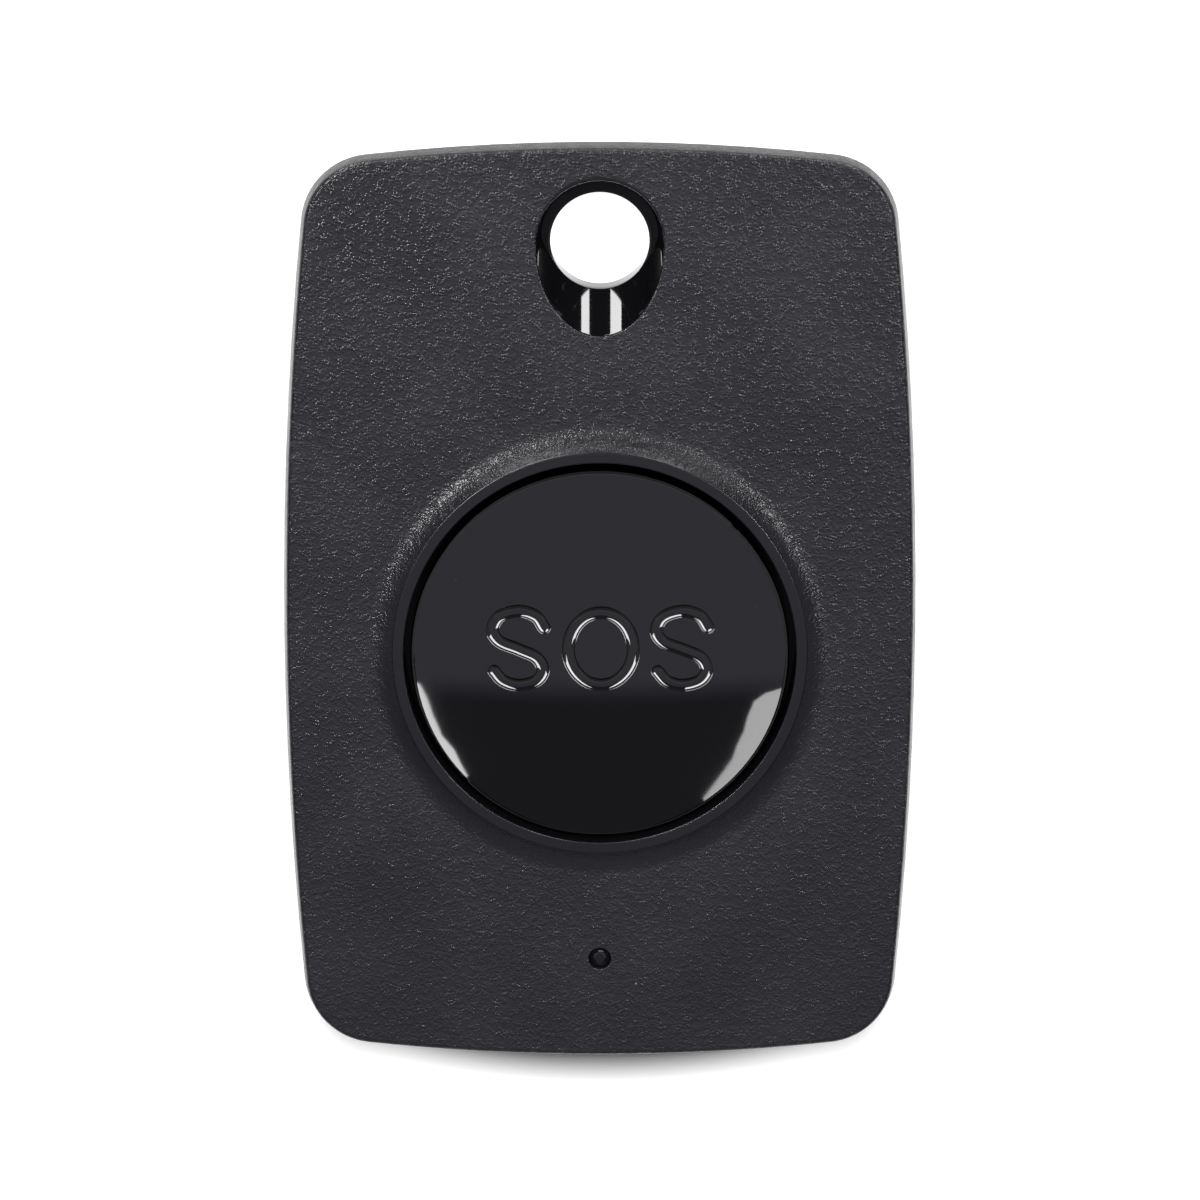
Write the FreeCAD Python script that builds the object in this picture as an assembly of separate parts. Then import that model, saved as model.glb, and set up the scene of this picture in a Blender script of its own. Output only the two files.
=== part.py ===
import FreeCAD, Part
import math
import os

# Wireless panic button for a lanyard: two moulded shells, a round push button in a raised
# collar, and inside a coin cell, a circuit board and a small radio.
# Millimetres. The button lies on its back: +Z leaves its front face, +Y points to the
# lanyard hole, and the origin is the middle of the back face.

# Housing outline
half_length = 30.0
half_width = 20.1
side_arc_radius = 260.0
end_arc_radius = 135.0
corner_radius = 4.6

# Housing heights and walls
rim_height = 1.26
rim_draft = 0.2
face_edge_radius = 0.3
front_wall = 1.5
rear_wall = 1.5
rear_floor = 1.5
rear_taper_degrees = 17.0
back_edge_radius = 2.4
back_corner_radius = 4.6
cavity_corner_radius = 2.6

# Tongue of the front shell in the rebate of the rear shell
tongue_inset = 1.9
tongue_thickness = 1.0
tongue_depth = 1.6
tongue_side_clearance = 0.1
tongue_end_clearance = 0.1

# Push button, its opening and its collar
button_y = -3.0
opening_radius = 12.49
cap_side_clearance = 0.43
collar_height = 0.7
lip_width = 0.7
lip_edge_radius = 0.12
collar_slope_width = 1.6
cap_crown_over_lip = 0.5
cap_edge_radius = 0.3
cap_dome_radius = 130.0
cap_top_wall = 1.5
cap_side_wall = 1.2
cap_flange_width = 1.3
cap_flange_thickness = 0.8
cap_flange_clearance = 0.08
cap_boss_radius = 2.4
cap_rib_count = 8
cap_rib_thickness = 0.8
cap_rib_inner_radius = 6.4
cap_rib_depth = 0.9
key_width = 1.6
key_length = 1.4
key_depth = 1.5
key_clearance = 0.2
key_gap_to_opening = 0.15

# Lanyard hole and the scooped recess in front of it
scoop_from_end = 6.38
scoop_radius = 4.07
scoop_drop = 5.99
scoop_depth = 2.3
scoop_wall = 1.1
hole_below_scoop = 0.31
hole_radius = 3.14
hole_web = 1.6

# Shaft behind the lanyard hole, open at the back edge
shaft_radius = 3.5
shaft_drop = 6.0
shaft_wall = 1.1
shaft_notch_height = 5.0
shaft_notch_radius = 1.2
shaft_top_clearance = 0.05

# Case screws, driven from the back
screw_from_side = 8.5
screw_from_end = 9.5
screw_shank_radius = 0.95
screw_length = 7.6
screw_point_length = 0.8
screw_head_radius = 1.8
screw_head_height = 1.3
screw_head_round = 0.5
screw_slot_length = 1.9
screw_slot_width = 0.45
screw_slot_depth = 0.7
screw_hole_clearance = 0.2
screw_pilot_clearance = 0.05
counterbore_depth = 2.2
counterbore_clearance = 0.2
rear_boss_wall = 1.0
front_boss_radius = 2.2
upper_joint_over_board = 1.3
pilot_extra_depth = 0.4

# Circuit board and its posts
board_thickness = 1.0
board_inset = 4.2
board_corner_radius = 1.6
board_end_clearance = 0.35
board_hole_clearance = 0.25
post_from_side = 7.5
post_from_board_end = 2.4
post_radius = 1.2

# Light pipe and the small lamp under it
lamp_from_end = 6.6
lamp_hole_radius = 0.71
pipe_clearance = 0.05
pipe_tip_below_face = 0.15
pipe_tip_round = 0.35
pipe_flange_radius = 1.25
pipe_flange_thickness = 0.9
pipe_length_below_plate = 3.3
pipe_boss_wall = 0.9
pipe_boss_depth = 2.4
lamp_length = 1.6
lamp_width = 0.8
lamp_height = 0.75
lamp_base_height = 0.25

# Push switch on the board
switch_size = 6.0
switch_corner = 0.6
switch_body_height = 3.2
switch_pocket_radius = 2.2
switch_pocket_depth = 2.0
cover_plate_thickness = 0.3
cover_plate_margin = 0.1
plunger_radius = 1.75
plunger_clearance = 0.1
plunger_top_height = 4.3
plunger_flange_radius = 2.1
plunger_flange_thickness = 0.8
plunger_top_chamfer = 0.25
dome_height = 0.65
dome_thickness = 0.12
dome_radius = 2.0
dome_clearance = 0.03
terminal_width = 0.7
terminal_thickness = 0.2
terminal_reach = 1.5
terminal_rise = 1.1
terminal_pitch = 4.5

# Rubber membrane that lifts the button
membrane_base_radius = 9.0
membrane_base_width = 2.3
membrane_base_height = 0.8
membrane_wall = 0.55
membrane_top_radius = 5.4
membrane_pad_thickness = 0.6
membrane_edge = 0.3
membrane_clearance = 0.02

# Coin cell, its clip and the spring contact above it
cell_y = 0.0
cell_radius = 10.0
cell_thickness = 3.2
cell_edge_radius = 0.4
cell_cap_radius = 8.9
cell_cap_height = 0.25
cell_groove_width = 0.35
clip_thickness = 0.3
clip_width = 6.0
clip_side_clearance = 0.15
clip_bend_radius = 0.5
clip_foot_length = 1.6
clip_floor_clearance = 0.3
cradle_clearance = 0.7
cradle_wall = 1.0
cradle_height = 2.6
cradle_gap = 9.0
contact_gap = 0.4
contact_thickness = 0.15
contact_length = 4.0
contact_width = 3.0
contact_slope_length = 1.5
contact_tip_length = 2.0

# Radio parts on the board, beside the membrane and towards the two ends
part_gap = 0.5
chip_size = 3.0
chip_height = 0.9
chip_lead_count = 5
chip_lead_width = 0.25
chip_lead_reach = 0.5
chip_lead_thickness = 0.2
crystal_y_from_button = 3.4
crystal_length = 3.2
crystal_width = 2.5
crystal_height = 0.9
crystal_round = 0.4
coil_from_board_end = 2.6
coil_radius = 1.2
coil_wire_radius = 0.3
coil_leg_radius = 0.34
coil_turns = 5
coil_pitch = 2.4
coil_height_over_board = 1.75
matching_y_from_button = -3.4
matching_length = 2.5
matching_width = 2.0
matching_height = 1.8
matching_waist = 0.35
matching_flange = 0.45
transistor_x = 5.6
transistor_length = 2.9
transistor_width = 1.3
transistor_height = 1.0
transistor_lead_width = 0.4
transistor_lead_reach = 0.55
transistor_lead_thickness = 0.15
chip_part_length = 1.6
chip_part_width = 0.8
chip_part_end = 0.3
chip_part_step = 0.04
resistor_height = 0.45
capacitor_height = 0.8
chip_part_pitch = 1.7
resistor_row_count = 5
capacitor_row_count = 4
resistor_row_from_lamp = 3.0
capacitor_row_from_lamp = 5.4

# Heights, places and radii that follow. The stack inside sets the height of the face.
cell_bottom = rear_floor + clip_floor_clearance + clip_thickness
cell_top = cell_bottom + cell_thickness
board_underside = cell_top + contact_gap
board_top = board_underside + board_thickness
plunger_top = board_top + plunger_top_height
face_height = plunger_top + front_wall
parting_height = face_height - rim_height
plate_underside = face_height - front_wall
tongue_bottom = parting_height - tongue_depth
rebate_inset = tongue_inset - tongue_side_clearance
rebate_bottom = tongue_bottom - tongue_end_clearance
taper = math.tan(math.radians(rear_taper_degrees))
wall_across = rear_wall / math.cos(math.radians(rear_taper_degrees))
lip_top = face_height + collar_height
cap_radius = opening_radius - cap_side_clearance
flange_top = plate_underside - cap_flange_clearance
flange_bottom = flange_top - cap_flange_thickness
switch_top = board_top + switch_body_height
pocket_floor = switch_top - switch_pocket_depth
membrane_top = plunger_top + membrane_clearance + membrane_pad_thickness
cap_boss_bottom = membrane_top + membrane_clearance
cap_crown = lip_top + cap_crown_over_lip
cap_ceiling = cap_crown - cap_top_wall
screw_seat = counterbore_depth
screw_tip = screw_seat + screw_length
dome_top = pocket_floor + dome_height
scoop_floor = face_height - scoop_depth
web_bottom = scoop_floor - hole_web
shaft_top = web_bottom - shaft_top_clearance
screw_x = half_width - screw_from_side
screw_y = half_length - screw_from_end
scoop_y = half_length - scoop_from_end
hole_y = scoop_y - hole_below_scoop
lamp_y = lamp_from_end - half_length
board_end = hole_y - shaft_drop - shaft_wall - board_end_clearance
post_x = half_width - post_from_side
post_y = board_end - post_from_board_end
upper_boss_joint_height = board_top + upper_joint_over_board
beside_membrane = membrane_base_radius + part_gap
coil_y = board_end - coil_from_board_end

V = FreeCAD.Vector
up = V(0, 0, 1)
far = 60.0
near = 0.001


def outline(inset, z, corner=None):
    # Eight tangent arcs: two long sides, two ends and four corners, all moved in by the inset.
    side = side_arc_radius - inset
    end = end_arc_radius - inset
    if corner is None:
        corner = corner_radius - inset
    side_centre = V(half_width - side_arc_radius, 0, 0)
    end_centre = V(0, half_length - end_arc_radius, 0)
    apart = end_centre - side_centre
    along = ((side - corner) ** 2 - (end - corner) ** 2 + apart.Length ** 2) / (2 * apart.Length)
    across = math.sqrt((side - corner) ** 2 - along ** 2)
    direction = V(apart).normalize()
    sideways = V(-direction.y, direction.x, 0)
    centre = side_centre + direction * along + sideways * across
    if centre.x < 0 or centre.y < 0:
        centre = side_centre + direction * along - sideways * across
    on_side = side_centre + (centre - side_centre).normalize() * side
    on_end = end_centre + (centre - end_centre).normalize() * end
    middle = centre + ((on_side - centre) + (on_end - centre)).normalize() * corner
    east = V(half_width - inset, 0, 0)
    north = V(0, half_length - inset, 0)
    low_side = V(on_side.x, -on_side.y, 0)
    left_end = V(-on_end.x, on_end.y, 0)

    def arc(a, b, c, mirror_x, mirror_y):
        points = [V(p.x * mirror_x, p.y * mirror_y, z) for p in (a, b, c)]
        return Part.Arc(*points).toShape()

    return Part.Wire([
        arc(low_side, east, on_side, 1, 1),
        arc(on_side, middle, on_end, 1, 1),
        arc(on_end, north, left_end, 1, 1),
        arc(on_end, middle, on_side, -1, 1),
        arc(low_side, east, on_side, -1, -1),
        arc(on_side, middle, on_end, -1, -1),
        arc(on_end, north, left_end, -1, -1),
        arc(on_end, middle, on_side, 1, -1),
    ])


def slab(inset, bottom, top, corner=None):
    return Part.Face(outline(inset, bottom, corner)).extrude(V(0, 0, top - bottom))


def tapered(low_inset, low, low_corner, high_inset, high, high_corner):
    return Part.makeLoft(
        [outline(low_inset, low, low_corner), outline(high_inset, high, high_corner)], True, True
    )


def cylinder(x, y, bottom, top, radius):
    return Part.makeCylinder(radius, top - bottom, V(x, y, bottom))


def block(x, y, bottom, length, width, height):
    return Part.makeBox(length, width, height, V(x - length / 2, y - width / 2, bottom))


def turned(points, x, y):
    # A closed profile of radius and height pairs, turned about the vertical through x, y.
    corners = [V(x + r, y, z) for r, z in points]
    wire = Part.makePolygon(corners + [corners[0]])
    return Part.Face(wire).revolve(V(x, y, 0), up, 360)


def egg(y, radius, drop, bottom, top):
    # A half circle above the centre line and half an ellipse below it, as a prism.
    centre = V(0, y, bottom)
    upper = Part.ArcOfCircle(Part.Circle(centre, up, radius), 0, math.pi).toShape()
    low = V(0, y - drop, bottom)
    lower_curve = Part.Ellipse(low, V(radius, y, bottom), centre)
    ends = [lower_curve.parameter(V(side * radius, y, bottom)) for side in (-1, 1)]
    passes_low = lower_curve.parameter(low)
    start, stop = min(ends), max(ends)
    if not start < passes_low < stop:
        start, stop = stop, start + 2 * math.pi
    lower = Part.ArcOfEllipse(lower_curve, start, stop).toShape()
    wire = Part.Wire(Part.__sortEdges__([upper, lower]))
    return Part.Face(wire).extrude(V(0, 0, top - bottom))


def edges_at(shape, z):
    return [e for e in shape.Edges if abs(e.BoundBox.ZMin - z) < near
            and abs(e.BoundBox.ZMax - z) < near]


def upright_edges(shape):
    return [e for e in shape.Edges if e.BoundBox.XLength < near and e.BoundBox.YLength < near]


def scoop_cut():
    # Below the centre line a bore that slants down into the face, above it the spheroid that
    # meets the bore all the way down on the plane between them.
    slope = math.asin(scoop_radius / scoop_drop)
    centre = V(0, scoop_y, face_height)
    direction = V(0, math.cos(slope), -math.sin(slope))
    reach = 2 * scoop_drop
    bore = Part.makeCylinder(scoop_radius, 2 * reach, centre - direction * reach, direction)
    below = Part.makeBox(2 * reach, reach, reach, V(-reach, scoop_y - reach, scoop_floor))
    depth_axis = scoop_radius / math.cos(slope)
    curve = Part.Ellipse(centre + up * depth_axis, centre + V(scoop_radius, 0, 0), centre)
    half = Part.ArcOfEllipse(curve, 0, math.pi).toShape()
    axis_line = Part.makeLine(centre - up * depth_axis, centre + up * depth_axis)
    spheroid = Part.Face(Part.Wire([half, axis_line])).revolve(centre, up, 360)
    above = Part.makeBox(2 * reach, reach, reach, V(-reach, scoop_y, scoop_floor))
    return bore.common(below), spheroid.common(above)


def screw_places():
    return [(sx * screw_x, sy * screw_y) for sy in (-1, 1) for sx in (-1, 1)]


def joint_height(y):
    # The lower pair clamps the board, the upper pair meets boss to boss.
    return board_underside if y < 0 else upper_boss_joint_height


def front_cover():
    shell = tapered(0, parting_height, None, rim_draft, face_height, None)
    shell = shell.makeFillet(face_edge_radius, edges_at(shell, face_height))
    plate = slab(tongue_inset, plate_underside, parting_height)
    ring = slab(tongue_inset, tongue_bottom, plate_underside)
    ring = ring.cut(slab(tongue_inset + tongue_thickness, tongue_bottom, plate_underside))

    lip_radius = opening_radius + lip_width
    foot_radius = lip_radius + collar_slope_width
    sweep = (collar_slope_width ** 2 + collar_height ** 2) / (2 * collar_height)
    half_turn = math.asin(collar_slope_width / sweep) / 2
    foot = V(foot_radius, button_y, face_height)
    crest = V(lip_radius, button_y, lip_top)
    bend = V(foot_radius - sweep * math.sin(half_turn), button_y,
             face_height + sweep * (1 - math.cos(half_turn)))
    inner_low = V(opening_radius, button_y, plate_underside)
    inner_high = V(opening_radius, button_y, lip_top - lip_edge_radius)
    round_end = V(opening_radius + lip_edge_radius, button_y, lip_top)
    round_middle = V(opening_radius + lip_edge_radius * (1 - math.sqrt(0.5)), button_y,
                     lip_top - lip_edge_radius * (1 - math.sqrt(0.5)))
    outer_low = V(foot_radius, button_y, plate_underside)
    profile = Part.Wire([
        Part.makeLine(inner_low, inner_high),
        Part.Arc(inner_high, round_middle, round_end).toShape(),
        Part.makeLine(round_end, crest),
        Part.Arc(crest, bend, foot).toShape(),
        Part.makeLine(foot, outer_low),
        Part.makeLine(outer_low, inner_low),
    ])
    collar = Part.Face(profile).revolve(V(0, button_y, 0), up, 360)

    pocket_boss = egg(scoop_y, scoop_radius + scoop_wall, scoop_drop + scoop_wall,
                      web_bottom, plate_underside)
    pocket_boss = pocket_boss.common(slab(tongue_inset, web_bottom, plate_underside))
    bosses = []
    for x, y in screw_places():
        bottom = board_top if y < 0 else upper_boss_joint_height
        bosses.append(cylinder(x, y, bottom, plate_underside, front_boss_radius))
    for side in (-1, 1):
        bosses.append(cylinder(side * post_x, post_y, board_top, plate_underside, post_radius))
        key_x = side * (opening_radius + key_gap_to_opening + key_length / 2)
        bosses.append(block(key_x, button_y, plate_underside - key_depth,
                            key_length, key_width, key_depth))
    bosses.append(cylinder(0, lamp_y, plate_underside - pipe_boss_depth, plate_underside,
                           pipe_flange_radius + pipe_clearance + pipe_boss_wall))

    cover = shell.cut(cylinder(0, button_y, plate_underside, lip_top, foot_radius))
    cover = cover.fuse([plate.cut(cylinder(0, button_y, plate_underside, lip_top, foot_radius))])
    cover = cover.fuse([ring, collar, pocket_boss] + bosses).removeSplitter()

    cuts = list(scoop_cut())
    cuts.append(cylinder(0, hole_y, web_bottom, scoop_floor, hole_radius))
    cuts.append(cylinder(0, lamp_y, plate_underside, face_height, lamp_hole_radius))
    cuts.append(cylinder(0, lamp_y, plate_underside - pipe_boss_depth, plate_underside,
                         pipe_flange_radius + pipe_clearance))
    for x, y in screw_places():
        cuts.append(cylinder(x, y, board_underside, screw_tip + pilot_extra_depth,
                             screw_shank_radius + screw_pilot_clearance))
    for tool in cuts:
        cover = cover.cut(tool)
    return cover


def rear_cover():
    back_inset = parting_height * taper
    cavity_inset = (parting_height - rear_floor) * taper + wall_across
    body = tapered(back_inset, 0, back_corner_radius, 0, parting_height, corner_radius)
    body = body.makeFillet(back_edge_radius, edges_at(body, 0))
    cavity = tapered(cavity_inset, rear_floor, cavity_corner_radius,
                     tongue_inset + tongue_thickness, rebate_bottom,
                     corner_radius - tongue_inset - tongue_thickness)
    rebate = slab(rebate_inset, rebate_bottom, parting_height)
    shell = body.cut(cavity).cut(rebate)

    # The lanyard's way: the shaft, the notch in the end wall and the seat of the front boss.
    notch = Part.makeBox(2 * shaft_radius, far, shaft_notch_height, V(-shaft_radius, hole_y, 0))
    roof_edges = [e for e in edges_at(notch, shaft_notch_height) if e.BoundBox.XLength < near]
    seat = egg(scoop_y, scoop_radius + scoop_wall + tongue_side_clearance,
               scoop_drop + scoop_wall + tongue_side_clearance, shaft_top, parting_height)
    shaft = egg(hole_y, shaft_radius + shaft_wall, shaft_drop + shaft_wall, 0, shaft_top)
    shaft = shaft.common(body)
    for tool in (egg(hole_y, shaft_radius, shaft_drop, 0, parting_height),
                 notch.makeFillet(shaft_notch_radius, roof_edges),
                 seat.common(slab(rebate_inset, shaft_top, parting_height))):
        shell = shell.cut(tool)
        shaft = shaft.cut(tool)

    inside = [shaft]
    bore = screw_head_radius + counterbore_clearance
    for x, y in screw_places():
        boss = cylinder(x, y, 0, joint_height(y), bore + rear_boss_wall)
        inside.append(boss.common(body))
    for side in (-1, 1):
        inside.append(cylinder(side * post_x, post_y, rear_floor, board_underside, post_radius))
    cradle_inner = cell_radius + cradle_clearance
    cradle = cylinder(0, cell_y, rear_floor, rear_floor + cradle_height, cradle_inner + cradle_wall)
    cradle = cradle.cut(cylinder(0, cell_y, rear_floor, rear_floor + cradle_height, cradle_inner))
    gap = block(0, cell_y, rear_floor, 2 * far, cradle_gap, cradle_height)
    inside.append(cradle.cut(gap))
    shell = shell.fuse(inside).removeSplitter()
    for x, y in screw_places():
        shell = shell.cut(cylinder(x, y, 0, counterbore_depth, bore))
        shell = shell.cut(cylinder(x, y, 0, joint_height(y),
                                   screw_shank_radius + screw_hole_clearance))
    return shell


def case_screw(x, y):
    head = cylinder(x, y, screw_seat - screw_head_height, screw_seat, screw_head_radius)
    head = head.makeFillet(screw_head_round, edges_at(head, screw_seat - screw_head_height))
    point_start = screw_tip - screw_point_length
    shank = turned([(0, screw_seat), (screw_shank_radius, screw_seat),
                    (screw_shank_radius, point_start),
                    (screw_shank_radius / 3, screw_tip), (0, screw_tip)], x, y)
    slot_bottom = screw_seat - screw_head_height
    slots = [block(x, y, slot_bottom, screw_slot_length, screw_slot_width, screw_slot_depth),
             block(x, y, slot_bottom, screw_slot_width, screw_slot_length, screw_slot_depth)]
    return head.fuse([shank]).cut(slots[0].fuse([slots[1]]))


def case_screws():
    return Part.makeCompound([case_screw(x, y) for x, y in screw_places()])


def button_cap():
    # A shallow dome that runs tangent into a rounded edge, hollow below, with a stop flange.
    y = button_y
    dome_centre = V(0, y, cap_crown - cap_dome_radius)
    edge_x = cap_radius - cap_edge_radius
    edge_rise = math.sqrt((cap_dome_radius - cap_edge_radius) ** 2 - edge_x ** 2)
    edge_centre = dome_centre + V(edge_x, 0, edge_rise)
    outward = (edge_centre - dome_centre).normalize()
    edge_high = dome_centre + outward * cap_dome_radius
    edge_low = edge_centre + V(cap_edge_radius, 0, 0)
    edge_middle = edge_centre + (outward + V(1, 0, 0)).normalize() * cap_edge_radius
    crown = V(0, y, cap_crown)
    crown_middle = dome_centre + (outward + up).normalize() * cap_dome_radius
    inner_radius = cap_radius - cap_side_wall
    flange_radius = cap_radius + cap_flange_width
    corners = [crown, V(0, y, cap_ceiling), V(inner_radius, y, cap_ceiling),
               V(inner_radius, y, flange_bottom), V(flange_radius, y, flange_bottom),
               V(flange_radius, y, flange_top), V(cap_radius, y, flange_top), edge_low]
    edges = [Part.makeLine(a, b) for a, b in zip(corners, corners[1:])]
    edges.append(Part.Arc(edge_low, edge_middle, edge_high).toShape())
    edges.append(Part.Arc(edge_high, crown_middle, crown).toShape())
    cap = Part.Face(Part.Wire(edges)).revolve(V(0, y, 0), up, 360)

    extras = [cylinder(0, y, cap_boss_bottom, cap_ceiling, cap_boss_radius)]
    rib_length = inner_radius - cap_rib_inner_radius
    for turn in range(cap_rib_count):
        rib = Part.makeBox(rib_length, cap_rib_thickness, cap_rib_depth,
                           V(cap_rib_inner_radius, -cap_rib_thickness / 2,
                             cap_ceiling - cap_rib_depth))
        rib.rotate(V(0, 0, 0), up, (turn + 0.5) * 360 / cap_rib_count)
        rib.translate(V(0, y, 0))
        extras.append(rib)
    cap = cap.fuse(extras).removeSplitter()
    for side in (-1, 1):
        notch_length = key_length + key_gap_to_opening + key_clearance + cap_side_clearance
        notch_x = side * (opening_radius + key_gap_to_opening - key_clearance + notch_length / 2)
        cap = cap.cut(block(notch_x, y, flange_bottom, notch_length,
                            key_width + 2 * key_clearance, cap_flange_thickness))
    return cap


def button_membrane():
    # A base ring on the board, a cone that gives, and a pad between the cap and the switch.
    base_inner = membrane_base_radius - membrane_base_width
    base_top = board_top + membrane_base_height
    pad_bottom = membrane_top - membrane_pad_thickness
    inner_top = membrane_top_radius - membrane_wall
    return turned([
        (0, pad_bottom), (inner_top, pad_bottom), (base_inner, base_top), (base_inner, board_top),
        (membrane_base_radius, board_top), (membrane_base_radius, base_top),
        (base_inner + membrane_wall, base_top),
        (membrane_top_radius, membrane_top - membrane_edge),
        (membrane_top_radius - membrane_edge, membrane_top), (0, membrane_top),
    ], 0, button_y)


def light_pipe():
    radius = lamp_hole_radius - pipe_clearance
    tip = face_height - pipe_tip_below_face
    bottom = plate_underside - pipe_length_below_plate
    flange_high = plate_underside - pipe_clearance
    rod = cylinder(0, lamp_y, bottom, tip, radius)
    rod = rod.makeFillet(pipe_tip_round, edges_at(rod, tip))
    flange = cylinder(0, lamp_y, flange_high - pipe_flange_thickness, flange_high,
                      pipe_flange_radius)
    return rod.fuse([flange])


def circuit_board():
    board = slab(board_inset, board_underside, board_top, board_corner_radius)
    board = board.cut(Part.makeBox(2 * far, far, far, V(-far, board_end, 0)))
    for side in (-1, 1):
        hole = cylinder(side * screw_x, -screw_y, board_underside, board_top,
                        screw_shank_radius + board_hole_clearance)
        board = board.cut(hole)
    return board


def switch_base():
    body = block(0, button_y, board_top, switch_size, switch_size, switch_body_height)
    body = body.makeChamfer(switch_corner, upright_edges(body))
    return body.cut(cylinder(0, button_y, pocket_floor, switch_top, switch_pocket_radius))


def switch_cover_plate():
    size = switch_size - 2 * cover_plate_margin
    plate = block(0, button_y, switch_top, size, size, cover_plate_thickness)
    plate = plate.makeChamfer(switch_corner, upright_edges(plate))
    return plate.cut(cylinder(0, button_y, switch_top, switch_top + cover_plate_thickness,
                              plunger_radius + plunger_clearance))


def switch_dome():
    # A thin cap of a sphere that snaps down under the plunger.
    outer = (dome_radius ** 2 + dome_height ** 2) / (2 * dome_height)
    centre = V(0, button_y, dome_top - outer)
    ball = Part.makeSphere(outer, centre).cut(Part.makeSphere(outer - dome_thickness, centre))
    keep = cylinder(0, button_y, pocket_floor, dome_top, dome_radius)
    return ball.common(keep)


def switch_plunger():
    bottom = dome_top + dome_clearance
    stem = cylinder(0, button_y, bottom, plunger_top, plunger_radius)
    stem = stem.makeChamfer(plunger_top_chamfer, edges_at(stem, plunger_top))
    flange = cylinder(0, button_y, bottom, bottom + plunger_flange_thickness,
                      plunger_flange_radius)
    return stem.fuse([flange])


def switch_terminals():
    # Four bent strips: down the side of the switch and out along the board.
    legs = []
    for sx in (-1, 1):
        for sy in (-1, 1):
            inner = switch_size / 2
            outer = inner + terminal_reach
            y = button_y + sy * terminal_pitch / 2 - terminal_width / 2
            top = board_top + terminal_rise
            points = [(inner, board_top), (outer, board_top),
                      (outer, board_top + terminal_thickness),
                      (inner + terminal_thickness, board_top + terminal_thickness),
                      (inner + terminal_thickness, top), (inner, top)]
            corners = [V(sx * x, y, z) for x, z in points]
            face = Part.Face(Part.makePolygon(corners + [corners[0]]))
            legs.append(face.extrude(V(0, terminal_width, 0)))
    return Part.makeCompound(legs)


def status_lamp():
    base = block(0, lamp_y, board_top, lamp_length, lamp_width, lamp_base_height)
    lens_length = lamp_length - 2 * lamp_base_height
    lens = block(0, lamp_y, board_top + lamp_base_height, lens_length, lamp_width,
                 lamp_height - lamp_base_height)
    return base.fuse([lens])


def radio_chip():
    # Leads leave on the two sides that face the ends of the board.
    chip_x = -(beside_membrane + chip_size / 2)
    body = block(chip_x, button_y, board_top, chip_size, chip_size, chip_height)
    leads = []
    pitch = chip_size / (chip_lead_count + 1)
    for side in (-1, 1):
        for step in range(chip_lead_count):
            x = chip_x - chip_size / 2 + (step + 1) * pitch
            y = button_y + side * (chip_size + chip_lead_reach) / 2
            leads.append(block(x, y, board_top, chip_lead_width, chip_lead_reach,
                               chip_lead_thickness))
    return body.fuse(leads).removeSplitter()


def crystal_can():
    can = block(beside_membrane + crystal_width / 2, button_y + crystal_y_from_button, board_top,
                crystal_width, crystal_length, crystal_height)
    return can.makeFillet(crystal_round, upright_edges(can))


def antenna_coil():
    # A helix of stiff wire along X, with a straight leg down to the board at each end.
    length = coil_turns * coil_pitch
    centre_z = board_top + coil_height_over_board
    helix = Part.makeHelix(coil_pitch, length, coil_radius)
    start = V(coil_radius, 0, 0)
    ring = Part.Wire([Part.makeCircle(coil_wire_radius, start, V(0, 1, 0))])
    coil = Part.Wire(helix).makePipeShell([ring], True, True)
    coil.rotate(V(0, 0, 0), V(0, 1, 0), 90)
    coil.translate(V(-length / 2, coil_y, centre_z))
    leg_top = centre_z - coil_radius
    legs = [cylinder(side * length / 2, coil_y, board_top, leg_top, coil_leg_radius)
            for side in (-1, 1)]
    return coil.fuse(legs)


def matching_coil():
    # A small wound core: two square flanges with a round waist.
    x = beside_membrane + matching_width / 2
    y = button_y + matching_y_from_button
    reach = (matching_length - matching_flange) / 2
    flanges = [block(x, y + side * reach, board_top, matching_width, matching_flange,
                     matching_height) for side in (-1, 1)]
    waist = Part.makeCylinder(matching_height / 2 - matching_waist, matching_length,
                              V(x, y - matching_length / 2, board_top + matching_height / 2),
                              V(0, 1, 0))
    return waist.fuse(flanges).removeSplitter()


def driver_transistor():
    transistor_y = lamp_y + capacitor_row_from_lamp
    body = block(transistor_x, transistor_y, board_top, transistor_length, transistor_width,
                 transistor_height)
    leads = []
    reach = (transistor_width + transistor_lead_reach) / 2
    spread = transistor_length / 3
    for dx, side in ((-spread, -1), (spread, -1), (0, 1)):
        leads.append(block(transistor_x + dx, transistor_y + side * reach, board_top,
                           transistor_lead_width, transistor_lead_reach,
                           transistor_lead_thickness))
    return body.fuse(leads)


def chip_row(count, y, height):
    # Small two-ended parts side by side on the middle line, each with raised metal ends.
    parts = []
    for step in range(count):
        middle = (step - (count - 1) / 2) * chip_part_pitch
        body = block(middle, y, board_top, chip_part_width - 2 * chip_part_step, chip_part_length,
                     height - chip_part_step)
        ends = [block(middle, y + side * (chip_part_length - chip_part_end) / 2, board_top,
                      chip_part_width, chip_part_end, height) for side in (-1, 1)]
        parts.append(body.fuse(ends).removeSplitter())
    return Part.makeCompound(parts)


def chip_resistors():
    return chip_row(resistor_row_count, lamp_y + resistor_row_from_lamp, resistor_height)


def chip_capacitors():
    return chip_row(capacitor_row_count, lamp_y + capacitor_row_from_lamp, capacitor_height)


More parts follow.
